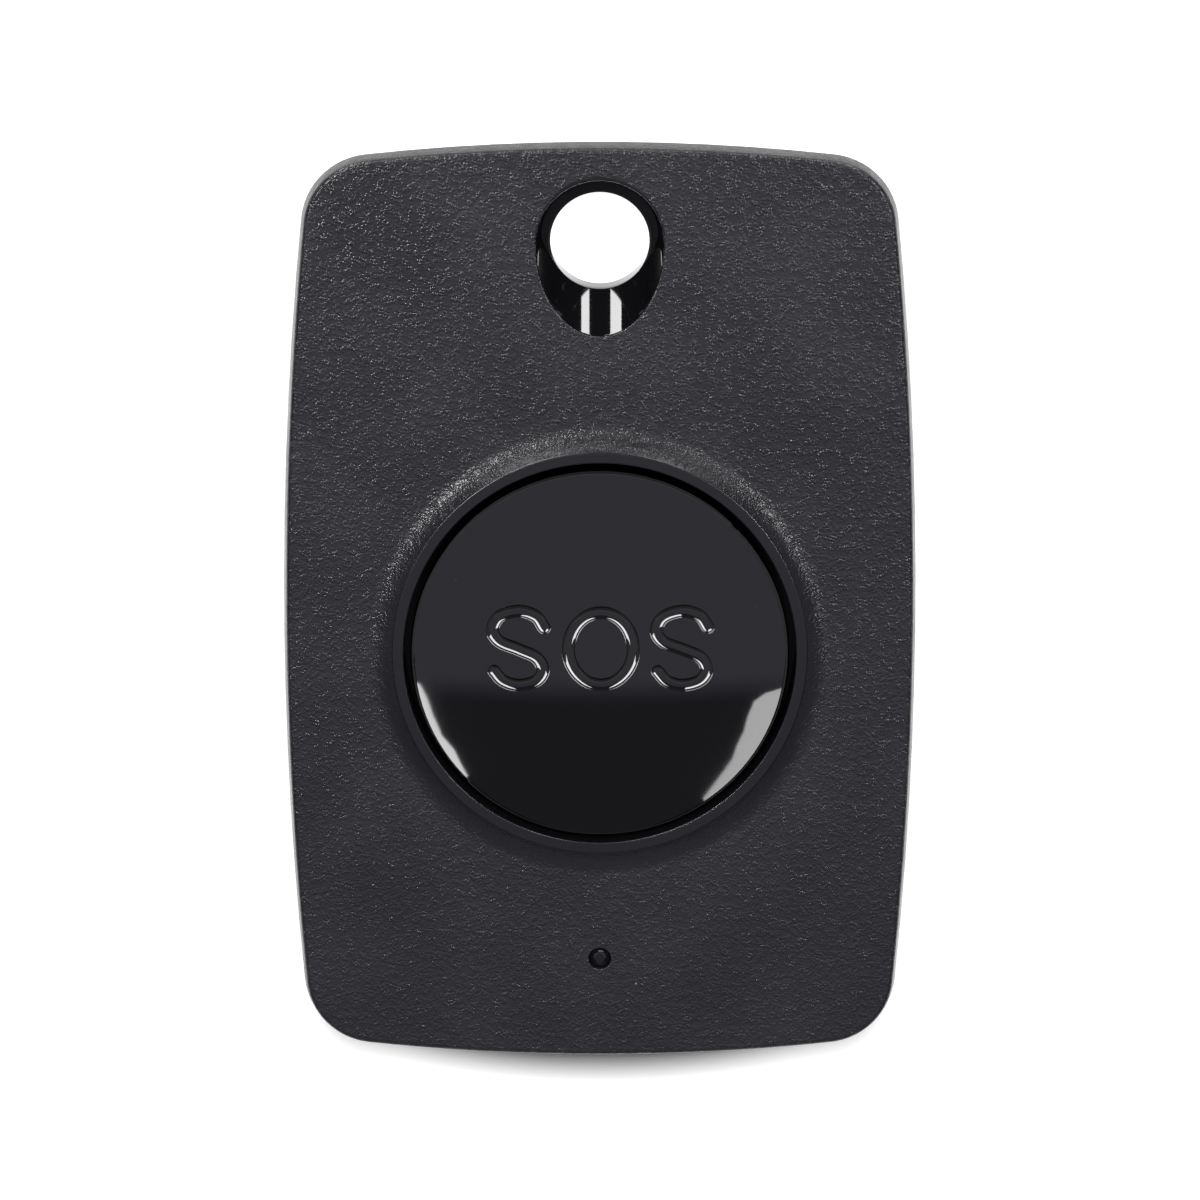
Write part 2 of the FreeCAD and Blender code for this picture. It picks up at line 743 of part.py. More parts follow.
def coin_cell():
    # A can with rounded edges, and the smaller cap that faces the board.
    can_top = cell_top - cell_cap_height
    can = cylinder(0, cell_y, cell_bottom, can_top, cell_radius)
    can = can.makeFillet(cell_edge_radius, edges_at(can, can_top) + edges_at(can, cell_bottom))
    cap = cylinder(0, cell_y, can_top, cell_top, cell_cap_radius)
    groove = cylinder(0, cell_y, can_top - cell_cap_height, can_top,
                      cell_cap_radius + cell_groove_width)
    groove = groove.cut(cylinder(0, cell_y, can_top - cell_cap_height, can_top, cell_cap_radius))
    return can.cut(groove).fuse([cap]).removeSplitter()


def cell_clip():
    # A strap bent up round the cell, with feet turned out under the board.
    inner = cell_radius + clip_side_clearance
    outer = inner + clip_thickness
    low = cell_bottom - clip_thickness
    foot = outer + clip_foot_length
    points = [(-foot, board_underside), (-foot, board_underside - clip_thickness),
              (-outer, board_underside - clip_thickness), (-outer, low), (outer, low),
              (outer, board_underside - clip_thickness), (foot, board_underside - clip_thickness),
              (foot, board_underside), (inner, board_underside), (inner, cell_bottom),
              (-inner, cell_bottom), (-inner, board_underside)]
    corners = [V(x, cell_y - clip_width / 2, z) for x, z in points]
    strap = Part.Face(Part.makePolygon(corners + [corners[0]])).extrude(V(0, clip_width, 0))
    bends = [e for e in edges_at(strap, low) if abs(abs(e.CenterOfMass.x) - outer) < near]
    return strap.makeFillet(clip_bend_radius, bends)


def negative_contact():
    # A strip soldered flat under the board, bent down once and flat again on the cell.
    t = contact_thickness
    half = contact_length / 2
    bend = half + contact_slope_length
    points = [(-half, board_underside), (-half, board_underside - t), (half, board_underside - t),
              (bend, cell_top), (bend + contact_tip_length, cell_top),
              (bend + contact_tip_length, cell_top + t), (bend, cell_top + t),
              (half, board_underside)]
    corners = [V(x - contact_tip_length, cell_y - contact_width / 2, z) for x, z in points]
    strip = Part.Face(Part.makePolygon(corners + [corners[0]]))
    return strip.extrude(V(0, contact_width, 0))


makers = {
    "front_cover": front_cover,
    "rear_cover": rear_cover,
    "case_screws": case_screws,
    "button_cap": button_cap,
    "button_membrane": button_membrane,
    "light_pipe": light_pipe,
    "circuit_board": circuit_board,
    "switch_base": switch_base,
    "switch_cover_plate": switch_cover_plate,
    "switch_dome": switch_dome,
    "switch_plunger": switch_plunger,
    "switch_terminals": switch_terminals,
    "status_lamp": status_lamp,
    "radio_chip": radio_chip,
    "crystal_can": crystal_can,
    "antenna_coil": antenna_coil,
    "matching_coil": matching_coil,
    "driver_transistor": driver_transistor,
    "chip_resistors": chip_resistors,
    "chip_capacitors": chip_capacitors,
    "coin_cell": coin_cell,
    "cell_clip": cell_clip,
    "negative_contact": negative_contact,
}

os.makedirs("parts", exist_ok=True)
for node, maker in makers.items():
    shape = maker()
    shape.exportStep("parts/" + node + ".step")
    print(node, "solids", len(shape.Solids), "valid", shape.isValid(),
          "volume", round(shape.Volume, 2))
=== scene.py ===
import math

import bmesh
import bpy
import numpy as np
from mathutils import Matrix, Vector, geometry


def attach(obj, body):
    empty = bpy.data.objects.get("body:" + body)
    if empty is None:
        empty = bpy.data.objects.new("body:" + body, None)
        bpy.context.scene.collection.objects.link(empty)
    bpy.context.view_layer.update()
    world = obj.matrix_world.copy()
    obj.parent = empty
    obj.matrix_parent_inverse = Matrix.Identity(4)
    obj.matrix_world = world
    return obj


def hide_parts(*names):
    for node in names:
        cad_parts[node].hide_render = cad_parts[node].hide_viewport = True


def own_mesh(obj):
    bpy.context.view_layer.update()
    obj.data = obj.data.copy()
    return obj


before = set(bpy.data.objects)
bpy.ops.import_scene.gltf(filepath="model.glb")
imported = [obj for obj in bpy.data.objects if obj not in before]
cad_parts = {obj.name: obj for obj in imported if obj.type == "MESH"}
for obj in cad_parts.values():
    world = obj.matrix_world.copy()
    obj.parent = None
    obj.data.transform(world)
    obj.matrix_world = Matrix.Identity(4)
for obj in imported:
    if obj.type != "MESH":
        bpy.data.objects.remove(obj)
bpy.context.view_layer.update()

print("frame loaded, nodes:", len(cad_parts))

# Sizes are in millimetres until a mesh is made, then in metres.
millimetre = 0.001
# Points closer than this become one: of a flat patch in millimetres, of a mesh in metres.
patchWeld, meshWeld = 1e-6, 3e-7
# Where a round meets a flat patch, both begin with a strip this wide, in millimetres.
guard = 0.02

housing = {
    "halfLength": 30.0,
    "halfWidth": 20.1,
    "sideRadius": 260.0,
    "endRadius": 135.0,
    "cornerRadius": 4.6,
    "faceHeight": 12.5,
    "partingHeight": 11.24,
    "draft": 0.2,
    "edgeRadius": 0.3,
    "edgeSteps": 9,
    "lowerEdge": 0.05,
    "lowerSteps": ((0.16, 1.0), (0.3, 0.3), (1.0, 0.0)),
}


# Meshes

def gridFaces(rowCount, columnCount):
    # Quads between neighbouring rows of points. Each row is a closed loop.
    columns = np.arange(columnCount)
    following = (columns + 1) % columnCount
    starts = np.arange(rowCount - 1)[:, None] * columnCount
    low, high = starts + columns, starts + following
    return np.stack([low, high, high + columnCount, low + columnCount], -1).reshape(-1, 4)


def surface(rows, material=0):
    # Rows of points, all of one length, as one patch of a mesh.
    rows = np.asarray(rows, float)
    faces = gridFaces(rows.shape[0], rows.shape[1]).tolist()
    return {"points": rows.reshape(-1, 3), "faces": faces, "material": material}


def insideLoop(points, loop):
    # Even or odd number of loop edges crossed on the way to the right.
    x, y = points[:, 0][:, None], points[:, 1][:, None]
    x1, y1 = loop[:, 0], loop[:, 1]
    x2, y2 = np.roll(x1, -1), np.roll(y1, -1)
    spans = (y1 > y) != (y2 > y)
    rise = np.where(y2 == y1, 1.0, y2 - y1)
    crossing = x1 + (y - y1) * (x2 - x1) / rise
    return (spans & (x < crossing)).sum(1) % 2 == 1


def flatPatch(outer, holes, height):
    # Triangles between an outer loop and the loops of its holes, all at one height.
    loops = [outer] + holes
    points = np.concatenate([loop[:, :2] for loop in loops])
    edges, first = [], 0
    for loop in loops:
        count = len(loop)
        edges += [(first + i, first + (i + 1) % count) for i in range(count)]
        first += count
    found = geometry.delaunay_2d_cdt([Vector(p) for p in points], edges, [], 0, patchWeld)
    flat = np.array([v[:] for v in found[0]])
    triangles = np.array(found[2])
    middles = flat[triangles].mean(1)
    kept = insideLoop(middles, outer[:, :2])
    for hole in holes:
        kept &= ~insideLoop(middles, hole[:, :2])
    full = np.column_stack([flat, np.full(len(flat), height)])
    return {"points": full, "faces": triangles[kept].tolist(), "material": 0}


def capPatch(loop):
    # One face over a closed loop.
    return {"points": np.asarray(loop, float), "faces": [list(range(len(loop)))], "material": 0}


def makePiece(name, patches, body, materials, sharpDegrees=35):
    # Joins the patches to one mesh that rides on the body.
    points, faces, slots, first = [], [], [], 0
    for patch in patches:
        points.append(patch["points"])
        faces += [[i + first for i in face] for face in patch["faces"]]
        slots += [patch["material"]] * len(patch["faces"])
        first += len(patch["points"])
    mesh = bpy.data.meshes.new(name)
    mesh.from_pydata((np.concatenate(points) * millimetre).tolist(), [], faces)
    mesh.polygons.foreach_set("material_index", slots)
    work = bmesh.new()
    work.from_mesh(mesh)
    bmesh.ops.remove_doubles(work, verts=work.verts, dist=meshWeld)
    bmesh.ops.recalc_face_normals(work, faces=work.faces)
    work.to_mesh(mesh)
    work.free()
    mesh.polygons.foreach_set("use_smooth", [True] * len(mesh.polygons))
    mesh.set_sharp_from_angle(angle=math.radians(sharpDegrees))
    for material in materials:
        mesh.materials.append(material)
    piece = bpy.data.objects.new(name, mesh)
    bpy.context.scene.collection.objects.link(piece)
    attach(piece, body)
    return piece


def circle(centreY, radius, height, count, centreX=0.0):
    turn = np.arange(count) * 2 * math.pi / count
    return np.column_stack([centreX + radius * np.cos(turn), centreY + radius * np.sin(turn),
                            np.full(count, height)])


def revolved(profile, centreY, count, centreX=0.0):
    return [circle(centreY, r, z, count, centreX) for r, z in profile]


def arcPoints(centre, radius, start, stop, count):
    # Points of an arc in a profile, angles in degrees from the profile's outward axis.
    turn = np.radians(np.linspace(start, stop, count))
    return [(centre[0] + radius * math.cos(t), centre[1] + radius * math.sin(t)) for t in turn]


# Outline of the housing

def outlineBase(perArc=23):
    # Points and outward normals of eight tangent arcs: each arc's points are its centre plus
    # its radius along the normal, and the corner's centre lies where it touches both long arcs.
    side, end, corner = (housing[k] for k in ("sideRadius", "endRadius", "cornerRadius"))
    sideCentre = np.array([housing["halfWidth"] - side, 0.0])
    endCentre = np.array([0.0, housing["halfLength"] - end])
    apart = endCentre - sideCentre
    distance = np.hypot(*apart)
    along = ((side - corner) ** 2 - (end - corner) ** 2 + distance ** 2) / (2 * distance)
    across = math.sqrt((side - corner) ** 2 - along ** 2)
    direction = apart / distance
    sideways = np.array([-direction[1], direction[0]])
    options = [sideCentre + direction * along + sign * sideways * across for sign in (1, -1)]
    cornerCentre = max(options, key=lambda p: min(p))
    sideTurn = math.atan2(*(cornerCentre - sideCentre)[::-1])
    endTurn = math.atan2(*(cornerCentre - endCentre)[::-1])
    points, normals = [], []
    for centre, radius, start, stop in (
        (sideCentre, side, 0, sideTurn),
        (cornerCentre, corner, sideTurn, endTurn),
        (endCentre, end, endTurn, math.pi / 2),
    ):
        turn = np.linspace(start, stop, perArc + 1)[:-1]
        normal = np.column_stack([np.cos(turn), np.sin(turn)])
        points.append(centre + radius * normal)
        normals.append(normal)
    points.append(np.array([[0.0, housing["halfLength"]]]))
    normals.append(np.array([[0.0, 1.0]]))
    points, normals = np.concatenate(points), np.concatenate(normals)
    quarters = []
    for part in (points, normals):
        turned = [part[:-1], (part[::-1] * (-1, 1))[:-1], (part * (-1, -1))[:-1],
                  (part[::-1] * (1, -1))[:-1]]
        quarters.append(np.concatenate(turned))
    return quarters


outlinePoints, outlineNormals = outlineBase()


def outlineRing(inset, height):
    flat = outlinePoints - inset * outlineNormals
    return np.column_stack([flat, np.full(len(flat), height)])


# Materials

def addNode(tree, kind, settings=None, values=None):
    node = tree.nodes.new(kind)
    for key, value in (settings or {}).items():
        setattr(node, key, value)
    for key, value in (values or {}).items():
        node.inputs[key].default_value = value
    return node


def makeGroup(name, inputs, outputs):
    group = bpy.data.node_groups.new(name, "ShaderNodeTree")
    for label, kind, value in inputs:
        socket = group.interface.new_socket(label, in_out="INPUT", socket_type=kind)
        socket.default_value = value
    for label, kind in outputs:
        group.interface.new_socket(label, in_out="OUTPUT", socket_type=kind)
    return group, group.nodes.new("NodeGroupInput"), group.nodes.new("NodeGroupOutput")


# Both textures take bumps per metre, their depth and mottles per metre. They give a normal and
# a slow mottling from 0 to 1.
textureInputs = [("Scale", "NodeSocketFloat", 5000.0), ("Depth", "NodeSocketFloat", 1e-5),
                 ("Mottle Scale", "NodeSocketFloat", 90.0)]
textureOutputs = [("Normal", "NodeSocketVector"), ("Mottle", "NodeSocketFloat")]
fineNoise = {"Detail": 2.0, "Roughness": 0.6}
slowNoise = {"Detail": 3.0, "Roughness": 0.55}
# How the spark bumps' heights vary: the noise's scale as a share of theirs, the span of the
# noise that counts, the lowest height, and the steepness of a bump.
sparkBumps = {"noiseShare": 0.3, "span": (0.35, 0.65), "lowest": 0.25, "steepness": 1.5}


def grainGroup():
    # Fine grain as a bump.
    group, given, out = makeGroup("grain", textureInputs, textureOutputs)
    place = addNode(group, "ShaderNodeTexCoord")
    fine = addNode(group, "ShaderNodeTexNoise", values=fineNoise)
    slow = addNode(group, "ShaderNodeTexNoise", values=slowNoise)
    bump = addNode(group, "ShaderNodeBump", values={"Strength": 1.0})
    link = group.links.new
    link(place.outputs["Object"], fine.inputs["Vector"])
    link(place.outputs["Object"], slow.inputs["Vector"])
    link(given.outputs["Scale"], fine.inputs["Scale"])
    link(given.outputs["Mottle Scale"], slow.inputs["Scale"])
    link(given.outputs["Depth"], bump.inputs["Distance"])
    link(fine.outputs["Fac"], bump.inputs["Height"])
    link(bump.outputs["Normal"], out.inputs["Normal"])
    link(slow.outputs["Fac"], out.inputs["Mottle"])
    return group


def sparkGroup():
    # Spark texture as a bump: small round bumps, each 1 - steepness * distance^2 high, and scaled
    # by a noise from bump to bump.
    group, given, out = makeGroup("sparkTexture", textureInputs, textureOutputs)
    place = addNode(group, "ShaderNodeTexCoord")
    cells = addNode(group, "ShaderNodeTexVoronoi", {"feature": "F1"})
    slow = addNode(group, "ShaderNodeTexNoise", values=slowNoise)
    share = addNode(group, "ShaderNodeMath", {"operation": "MULTIPLY"})
    share.inputs[1].default_value = sparkBumps["noiseShare"]
    sizes = addNode(group, "ShaderNodeTexNoise", values={"Detail": 1.0})
    spread = addNode(group, "ShaderNodeMapRange", values={
        "From Min": sparkBumps["span"][0], "From Max": sparkBumps["span"][1],
        "To Min": sparkBumps["lowest"], "To Max": 1.0})
    square = addNode(group, "ShaderNodeMath", {"operation": "MULTIPLY"})
    dome = addNode(group, "ShaderNodeMath", {"operation": "MULTIPLY_ADD", "use_clamp": True})
    dome.inputs[1].default_value = -sparkBumps["steepness"]
    dome.inputs[2].default_value = 1.0
    height = addNode(group, "ShaderNodeMath", {"operation": "MULTIPLY"})
    bump = addNode(group, "ShaderNodeBump", values={"Strength": 1.0})
    link = group.links.new
    for texture in (cells, slow, sizes):
        link(place.outputs["Object"], texture.inputs["Vector"])
    link(given.outputs["Scale"], cells.inputs["Scale"])
    link(given.outputs["Scale"], share.inputs[0])
    link(share.outputs[0], sizes.inputs["Scale"])
    link(given.outputs["Mottle Scale"], slow.inputs["Scale"])
    link(given.outputs["Depth"], bump.inputs["Distance"])
    link(cells.outputs["Distance"], square.inputs[0])
    link(cells.outputs["Distance"], square.inputs[1])
    link(square.outputs[0], dome.inputs[0])
    link(sizes.outputs["Fac"], spread.inputs["Value"])
    link(dome.outputs[0], height.inputs[0])
    link(spread.outputs["Result"], height.inputs[1])
    link(height.outputs[0], bump.inputs["Height"])
    link(bump.outputs["Normal"], out.inputs["Normal"])
    link(slow.outputs["Fac"], out.inputs["Mottle"])
    return group


grain = grainGroup()
sparkTexture = sparkGroup()
# The part of the mottling over which a surface goes from its smoothest to its roughest.
mottleSpan = (0.3, 0.7)


def makeMaterial(name, colour, roughness, metallic=0.0, shade=0.15, scale=3000.0, depth=2e-6,
                 mottleScale=90.0, roughSpread=0.08, extra=None, textureGroup=None):
    # A Principled surface whose colour and roughness vary slowly, with a fine grain as a bump.
    material = bpy.data.materials.new(name)
    material.use_nodes = True
    tree = material.node_tree
    link = tree.links.new
    shader = tree.nodes["Principled BSDF"]
    shader.inputs["Metallic"].default_value = metallic
    for key, value in (extra or {}).items():
        shader.inputs[key].default_value = value
    texture = addNode(tree, "ShaderNodeGroup", {"node_tree": textureGroup or grain},
                      {"Scale": scale, "Depth": depth, "Mottle Scale": mottleScale})
    mix = addNode(tree, "ShaderNodeMix", {"data_type": "RGBA"})
    mix.inputs["A"].default_value = (*[c * (1 - shade) for c in colour], 1)
    mix.inputs["B"].default_value = (*[min(1.0, c * (1 + shade)) for c in colour], 1)
    spread = addNode(tree, "ShaderNodeMapRange", values={
        "From Min": mottleSpan[0], "From Max": mottleSpan[1],
        "To Min": max(0.0, roughness - roughSpread), "To Max": roughness + roughSpread})
    link(texture.outputs["Mottle"], mix.inputs["Factor"])
    link(texture.outputs["Mottle"], spread.inputs["Value"])
    link(mix.outputs["Result"], shader.inputs["Base Color"])
    link(spread.outputs["Result"], shader.inputs["Roughness"])
    link(texture.outputs["Normal"], shader.inputs["Normal"])
    return material


mouldedSkin = {
    "colour": (0.0188, 0.0179, 0.022),
    "roughness": 0.3,
    "shade": 0.12,
    "scale": 6400.0,
    "depth": 3e-5,
    "mottleScale": 140.0,
    "extra": {"Specular IOR Level": 0.34},
    "textureGroup": sparkTexture,
}
looks = {
    "housingGrain": makeMaterial("housingGrain", **mouldedSkin),
    "rearGrain": makeMaterial("rearGrain", **mouldedSkin),
    "housingLip": makeMaterial("housingLip", (0.009, 0.0087, 0.0108), 0.3, shade=0.1,
                               roughSpread=0.03, extra={"Specular IOR Level": 0.32}),
    # Painted shade: darker and less reflective, for the recess floor round the lanyard hole.
    "housingShade": makeMaterial("housingShade", (0.003, 0.003, 0.0036), 0.12, shade=0.1,
                                 scale=900.0, depth=2e-7, roughSpread=0.03,
                                 extra={"Specular IOR Level": 0.1}),
    "housingGloss": makeMaterial("housingGloss", (0.005, 0.005, 0.006), 0.05, scale=900.0,
                                 depth=2e-7, roughSpread=0.02),
    "capGloss": makeMaterial("capGloss", (0.0068, 0.0066, 0.0092), 0.022, scale=500.0,
                             depth=1e-7, roughSpread=0.006),
    "pipeSmoke": makeMaterial("pipeSmoke", (0.006, 0.006, 0.007), 0.08, scale=2500.0,
                              depth=1e-6),
    "screwZinc": makeMaterial("screwZinc", (0.6, 0.6, 0.6), 0.3, 1.0, scale=2500.0),
    "membraneRubber": makeMaterial("membraneRubber", (0.55, 0.56, 0.58), 0.6, scale=2000.0),
    "boardGreen": makeMaterial("boardGreen", (0.03, 0.16, 0.07), 0.35, scale=1500.0),
    "switchPlastic": makeMaterial("switchPlastic", (0.03, 0.03, 0.03), 0.5),
    "sheetSteel": makeMaterial("sheetSteel", (0.68, 0.68, 0.67), 0.28, 1.0, scale=1800.0),
    "tinnedMetal": makeMaterial("tinnedMetal", (0.75, 0.75, 0.73), 0.35, 1.0, scale=1800.0),
    "lampEpoxy": makeMaterial("lampEpoxy", (0.75, 0.74, 0.68), 0.2),
    "chipEpoxy": makeMaterial("chipEpoxy", (0.035, 0.035, 0.038), 0.6, scale=6000.0),
    "chipCeramic": makeMaterial("chipCeramic", (0.35, 0.28, 0.2), 0.5, scale=4000.0),
    "copperWire": makeMaterial("copperWire", (0.72, 0.42, 0.25), 0.3, 1.0),
    "ferriteGrey": makeMaterial("ferriteGrey", (0.09, 0.085, 0.085), 0.55, scale=4000.0),
}

# Sparse pale specks on the pieces that show: cells per metre, a speck's size in cells and its
# strength.
paleSpecks = {
    "housingGrain": (320.0, 0.022, 0.5),
    "rearGrain": (320.0, 0.022, 0.5),
    "capGloss": (420.0, 0.024, 0.5),
}
speckColour = (0.6, 0.6, 0.6, 1)
# Heights between which the cap's reflection grows, and its levels there.
capPolish = {"low": 0.0118, "high": 0.0124, "dull": 0.05, "full": 0.5}
# Painted shade on the collar's crest: distances from the button's axis between which the skin's
# reflection grows, and its levels.
crestShade = {"axis": (0, -0.003, 0), "low": 0.0132, "high": 0.0144, "dull": 0.16, "full": 0.34}


def addPaleSpecks(material, scale, size, amount):
    # Sparse pale specks: where the nearest cell's middle is closer than the size.
    tree = material.node_tree
    shader = tree.nodes["Principled BSDF"]
    place = addNode(tree, "ShaderNodeTexCoord")
    cells = addNode(tree, "ShaderNodeTexVoronoi", {"feature": "F1"}, {"Scale": scale})
    speck = addNode(tree, "ShaderNodeMapRange", values={
        "From Min": size * 0.5, "From Max": size, "To Min": amount, "To Max": 0.0})
    mix = addNode(tree, "ShaderNodeMix", {"data_type": "RGBA"})
    mix.inputs["B"].default_value = speckColour
    before = shader.inputs["Base Color"].links[0].from_socket
    tree.links.new(place.outputs["Object"], cells.inputs["Vector"])
    tree.links.new(cells.outputs["Distance"], speck.inputs["Value"])
    tree.links.new(speck.outputs["Result"], mix.inputs["Factor"])
    tree.links.new(before, mix.inputs["A"])
    tree.links.new(mix.outputs["Result"], shader.inputs["Base Color"])


def addDullFlange(material):
    # The cap is polished only above its flange.
    tree = material.node_tree
    place = addNode(tree, "ShaderNodeTexCoord")
    split = addNode(tree, "ShaderNodeSeparateXYZ")
    rise = addNode(tree, "ShaderNodeMapRange", values={
        "From Min": capPolish["low"], "From Max": capPolish["high"],
        "To Min": capPolish["dull"], "To Max": capPolish["full"]})
    tree.links.new(place.outputs["Object"], split.inputs["Vector"])
    tree.links.new(split.outputs["Z"], rise.inputs["Value"])
    tree.links.new(rise.outputs["Result"],
                   tree.nodes["Principled BSDF"].inputs["Specular IOR Level"])


def addCrestShade(material):
    # Painted shade: the crest of the collar's slope reflects less than the rest of the skin.
    tree = material.node_tree
    place = addNode(tree, "ShaderNodeTexCoord")
    flatten = addNode(tree, "ShaderNodeVectorMath", {"operation": "MULTIPLY"})
    flatten.inputs[1].default_value = (1, 1, 0)
    away = addNode(tree, "ShaderNodeVectorMath", {"operation": "DISTANCE"})
    away.inputs[1].default_value = crestShade["axis"]
    rise = addNode(tree, "ShaderNodeMapRange", values={
        "From Min": crestShade["low"], "From Max": crestShade["high"],
        "To Min": crestShade["dull"], "To Max": crestShade["full"]})
    tree.links.new(place.outputs["Object"], flatten.inputs[0])
    tree.links.new(flatten.outputs[0], away.inputs[0])
    tree.links.new(away.outputs["Value"], rise.inputs["Value"])
    tree.links.new(rise.outputs["Result"],
                   tree.nodes["Principled BSDF"].inputs["Specular IOR Level"])


addCrestShade(looks["housingGrain"])
for speckledName, specks in paleSpecks.items():
    addPaleSpecks(looks[speckledName], *specks)
addDullFlange(looks["capGloss"])

nodeLooks = {
    "front_cover": "housingGrain",
    "rear_cover": "rearGrain",
    "button_cap": "capGloss",
    "light_pipe": "pipeSmoke",
    "case_screws": "screwZinc",
    "button_membrane": "membraneRubber",
    "circuit_board": "boardGreen",
    "switch_base": "switchPlastic",
    "switch_cover_plate": "sheetSteel",
    "switch_dome": "sheetSteel",
    "switch_plunger": "switchPlastic",
    "switch_terminals": "tinnedMetal",
    "status_lamp": "lampEpoxy",
    "radio_chip": "chipEpoxy",
    "crystal_can": "sheetSteel",
    "antenna_coil": "copperWire",
    "matching_coil": "ferriteGrey",
    "driver_transistor": "chipEpoxy",
    "chip_resistors": "chipCeramic",
    "chip_capacitors": "chipCeramic",
    "coin_cell": "sheetSteel",
    "cell_clip": "tinnedMetal",
    "negative_contact": "tinnedMetal",
}
for nodeName, lookName in nodeLooks.items():
    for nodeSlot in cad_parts[nodeName].material_slots:
        nodeSlot.material = looks[lookName]
print("materials made:", len(looks))

# The membrane and the switch's dome stand still at their feet and flatten as the button goes in. Here
# their joints, feet and kept shares are only listed, and each gets a mesh of its own.
# What is kept is 1 - travel / free height: 1 - 0.35 / 4.92 and 1 - 0.3 / 0.65.
softParts = {
    "button_membrane": {"joint": "button_press", "foot": 0.0067, "keep": 0.929},
    "switch_dome": {"joint": "plunger_travel", "foot": 0.0079, "keep": 0.538},
}
for softName, soft in softParts.items():
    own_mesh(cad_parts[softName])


# Front shell: the same form as its CAD node, with rounded edges and a polished recess. The
# patches' materials are numbered as in its looks.

shellLooks = ("housingGrain", "housingGloss", "housingLip", "housingShade")
skin, gloss, lip, shaded = range(len(shellLooks))
collar = {
    "y": -3.0,
    "opening": 12.49,
    "lipOuter": 13.19,
    "lipTop": 13.2,
    "slopeWidth": 1.6,
    "innerRound": 0.08,
    "outerRound": 0.07,
    "slopeSteps": 16,
    "roundSteps": 7,
    "wallHeights": (12.4, 11.8),
    "segments": 216,
}
scoop = {
    "y": 23.62,
    "radius": 4.07,
    "drop": 5.99,
    "depth": 2.3,
    "wall": 1.1,
    "lowRound": 0.12,
    "topRound": 0.38,
    "roundPower": 1.5,
    "lowSink": 0.3,
    "edgeSteps": 9,
    "skinSteps": 5,
    "wallSteps": 18,
    "holeY": 23.31,
    "holeRadius": 3.14,
    "holeRound": 0.12,
    "holeLeast": 0.003,
    "holeShare": 0.6,
    "holeSteps": 6,
    "holeWall": (0.35, 0.7, 1.0),
    "holeFoot": 0.05,
    "web": 1.6,
    "upperSteps": 97,
    "lowerSteps": 95,
}
lampHole = {"y": -23.4, "radius": 0.71, "round": 0.06, "roundSteps": 5, "segments": 48}
tongue = {"inset": 1.9, "thickness": 1.0, "depth": 1.6, "gapHalf": 6.0}
# Posts and bosses inside, on both sides: x, y, radius and the height of the foot.
posts = {
    "places": ((11.6, 20.5, 2.2, 8.0), (11.6, -20.5, 2.2, 6.7), (12.6, 13.46, 1.2, 6.7)),
    "seat": 0.06,
    "segments": 40,
}


def bezier(start, middle, end, count):
    # Points of a curve that leaves start towards middle and reaches end from middle.
    t = np.linspace(0, 1, count)
    shape = [count] + [1] * np.ndim(start)
    t = t.reshape(shape)
    return (1 - t) ** 2 * start + 2 * t * (1 - t) * middle + t ** 2 * end


def collarProfile():
    # A concave arc that leaves the face level, a flat lip and the wall of the opening.
    width, rise = collar["slopeWidth"], collar["lipTop"] - housing["faceHeight"]
    sweep = (width ** 2 + rise ** 2) / (2 * rise)
    foot = collar["lipOuter"] + width
    steep = math.degrees(math.asin(width / sweep))
    give = math.degrees(collar["outerRound"] / sweep)
    slope = arcPoints((foot, housing["faceHeight"] + sweep), sweep, 270, 270 - steep + give,
                      collar["slopeSteps"])
    crest = (collar["lipOuter"], collar["lipTop"])
    crestEnd = (collar["lipOuter"] - collar["outerRound"], collar["lipTop"])
    steps = collar["roundSteps"]
    crestRound = bezier(np.array(slope[-1]), np.array(crest), np.array(crestEnd), steps)[1:]
    r = collar["innerRound"]
    inner = arcPoints((collar["opening"] + r, collar["lipTop"] - r), r, 90, 180, steps)
    return ([(foot + guard, housing["faceHeight"])] + slope + [tuple(p) for p in crestRound]
            + [(crestEnd[0] - guard, crestEnd[1]), (inner[0][0] + guard, inner[0][1])] + inner
            + [(collar["opening"], z) for z in (*collar["wallHeights"], housing["partingHeight"])])


def scoopColumns():
    # Where each column of the recess lies: first along the half circle above the centre
    # line, then along the bore's ellipse below it.
    upper = np.linspace(0, 1, scoop["upperSteps"])
    lower = np.linspace(0, 1, scoop["lowerSteps"] + 2)[1:-1]
    isUpper = np.concatenate([np.ones(len(upper), bool), np.zeros(len(lower), bool)])
    return isUpper, np.concatenate([upper, lower])


scoopIsUpper, scoopShare = scoopColumns()


def scoopWall(depth):
    # At each depth the upper half is a circle of radius sqrt(R^2 - (depth cos a)^2) and the
    # lower half is the slanted bore's ellipse, moved up by depth / tan a and cut at the line.
    radius, drop = scoop["radius"], scoop["drop"]
    slant = math.asin(radius / drop)
    depth = np.broadcast_to(np.asarray(depth, float), scoopShare.shape)
    sunk = depth * math.cos(slant) / radius
    shift, cutTurn = sunk * drop, np.arcsin(sunk)
    turn = np.where(scoopIsUpper, math.pi * scoopShare,
                    math.pi + cutTurn + scoopShare * (math.pi - 2 * cutTurn))
    shrunk = radius * np.sqrt(1 - sunk ** 2)
    x = np.where(scoopIsUpper, shrunk, radius) * np.cos(turn)
    y = np.where(scoopIsUpper, shrunk * np.sin(turn), shift + drop * np.sin(turn))
    return np.column_stack([x, scoop["y"] + y, housing["faceHeight"] - depth])


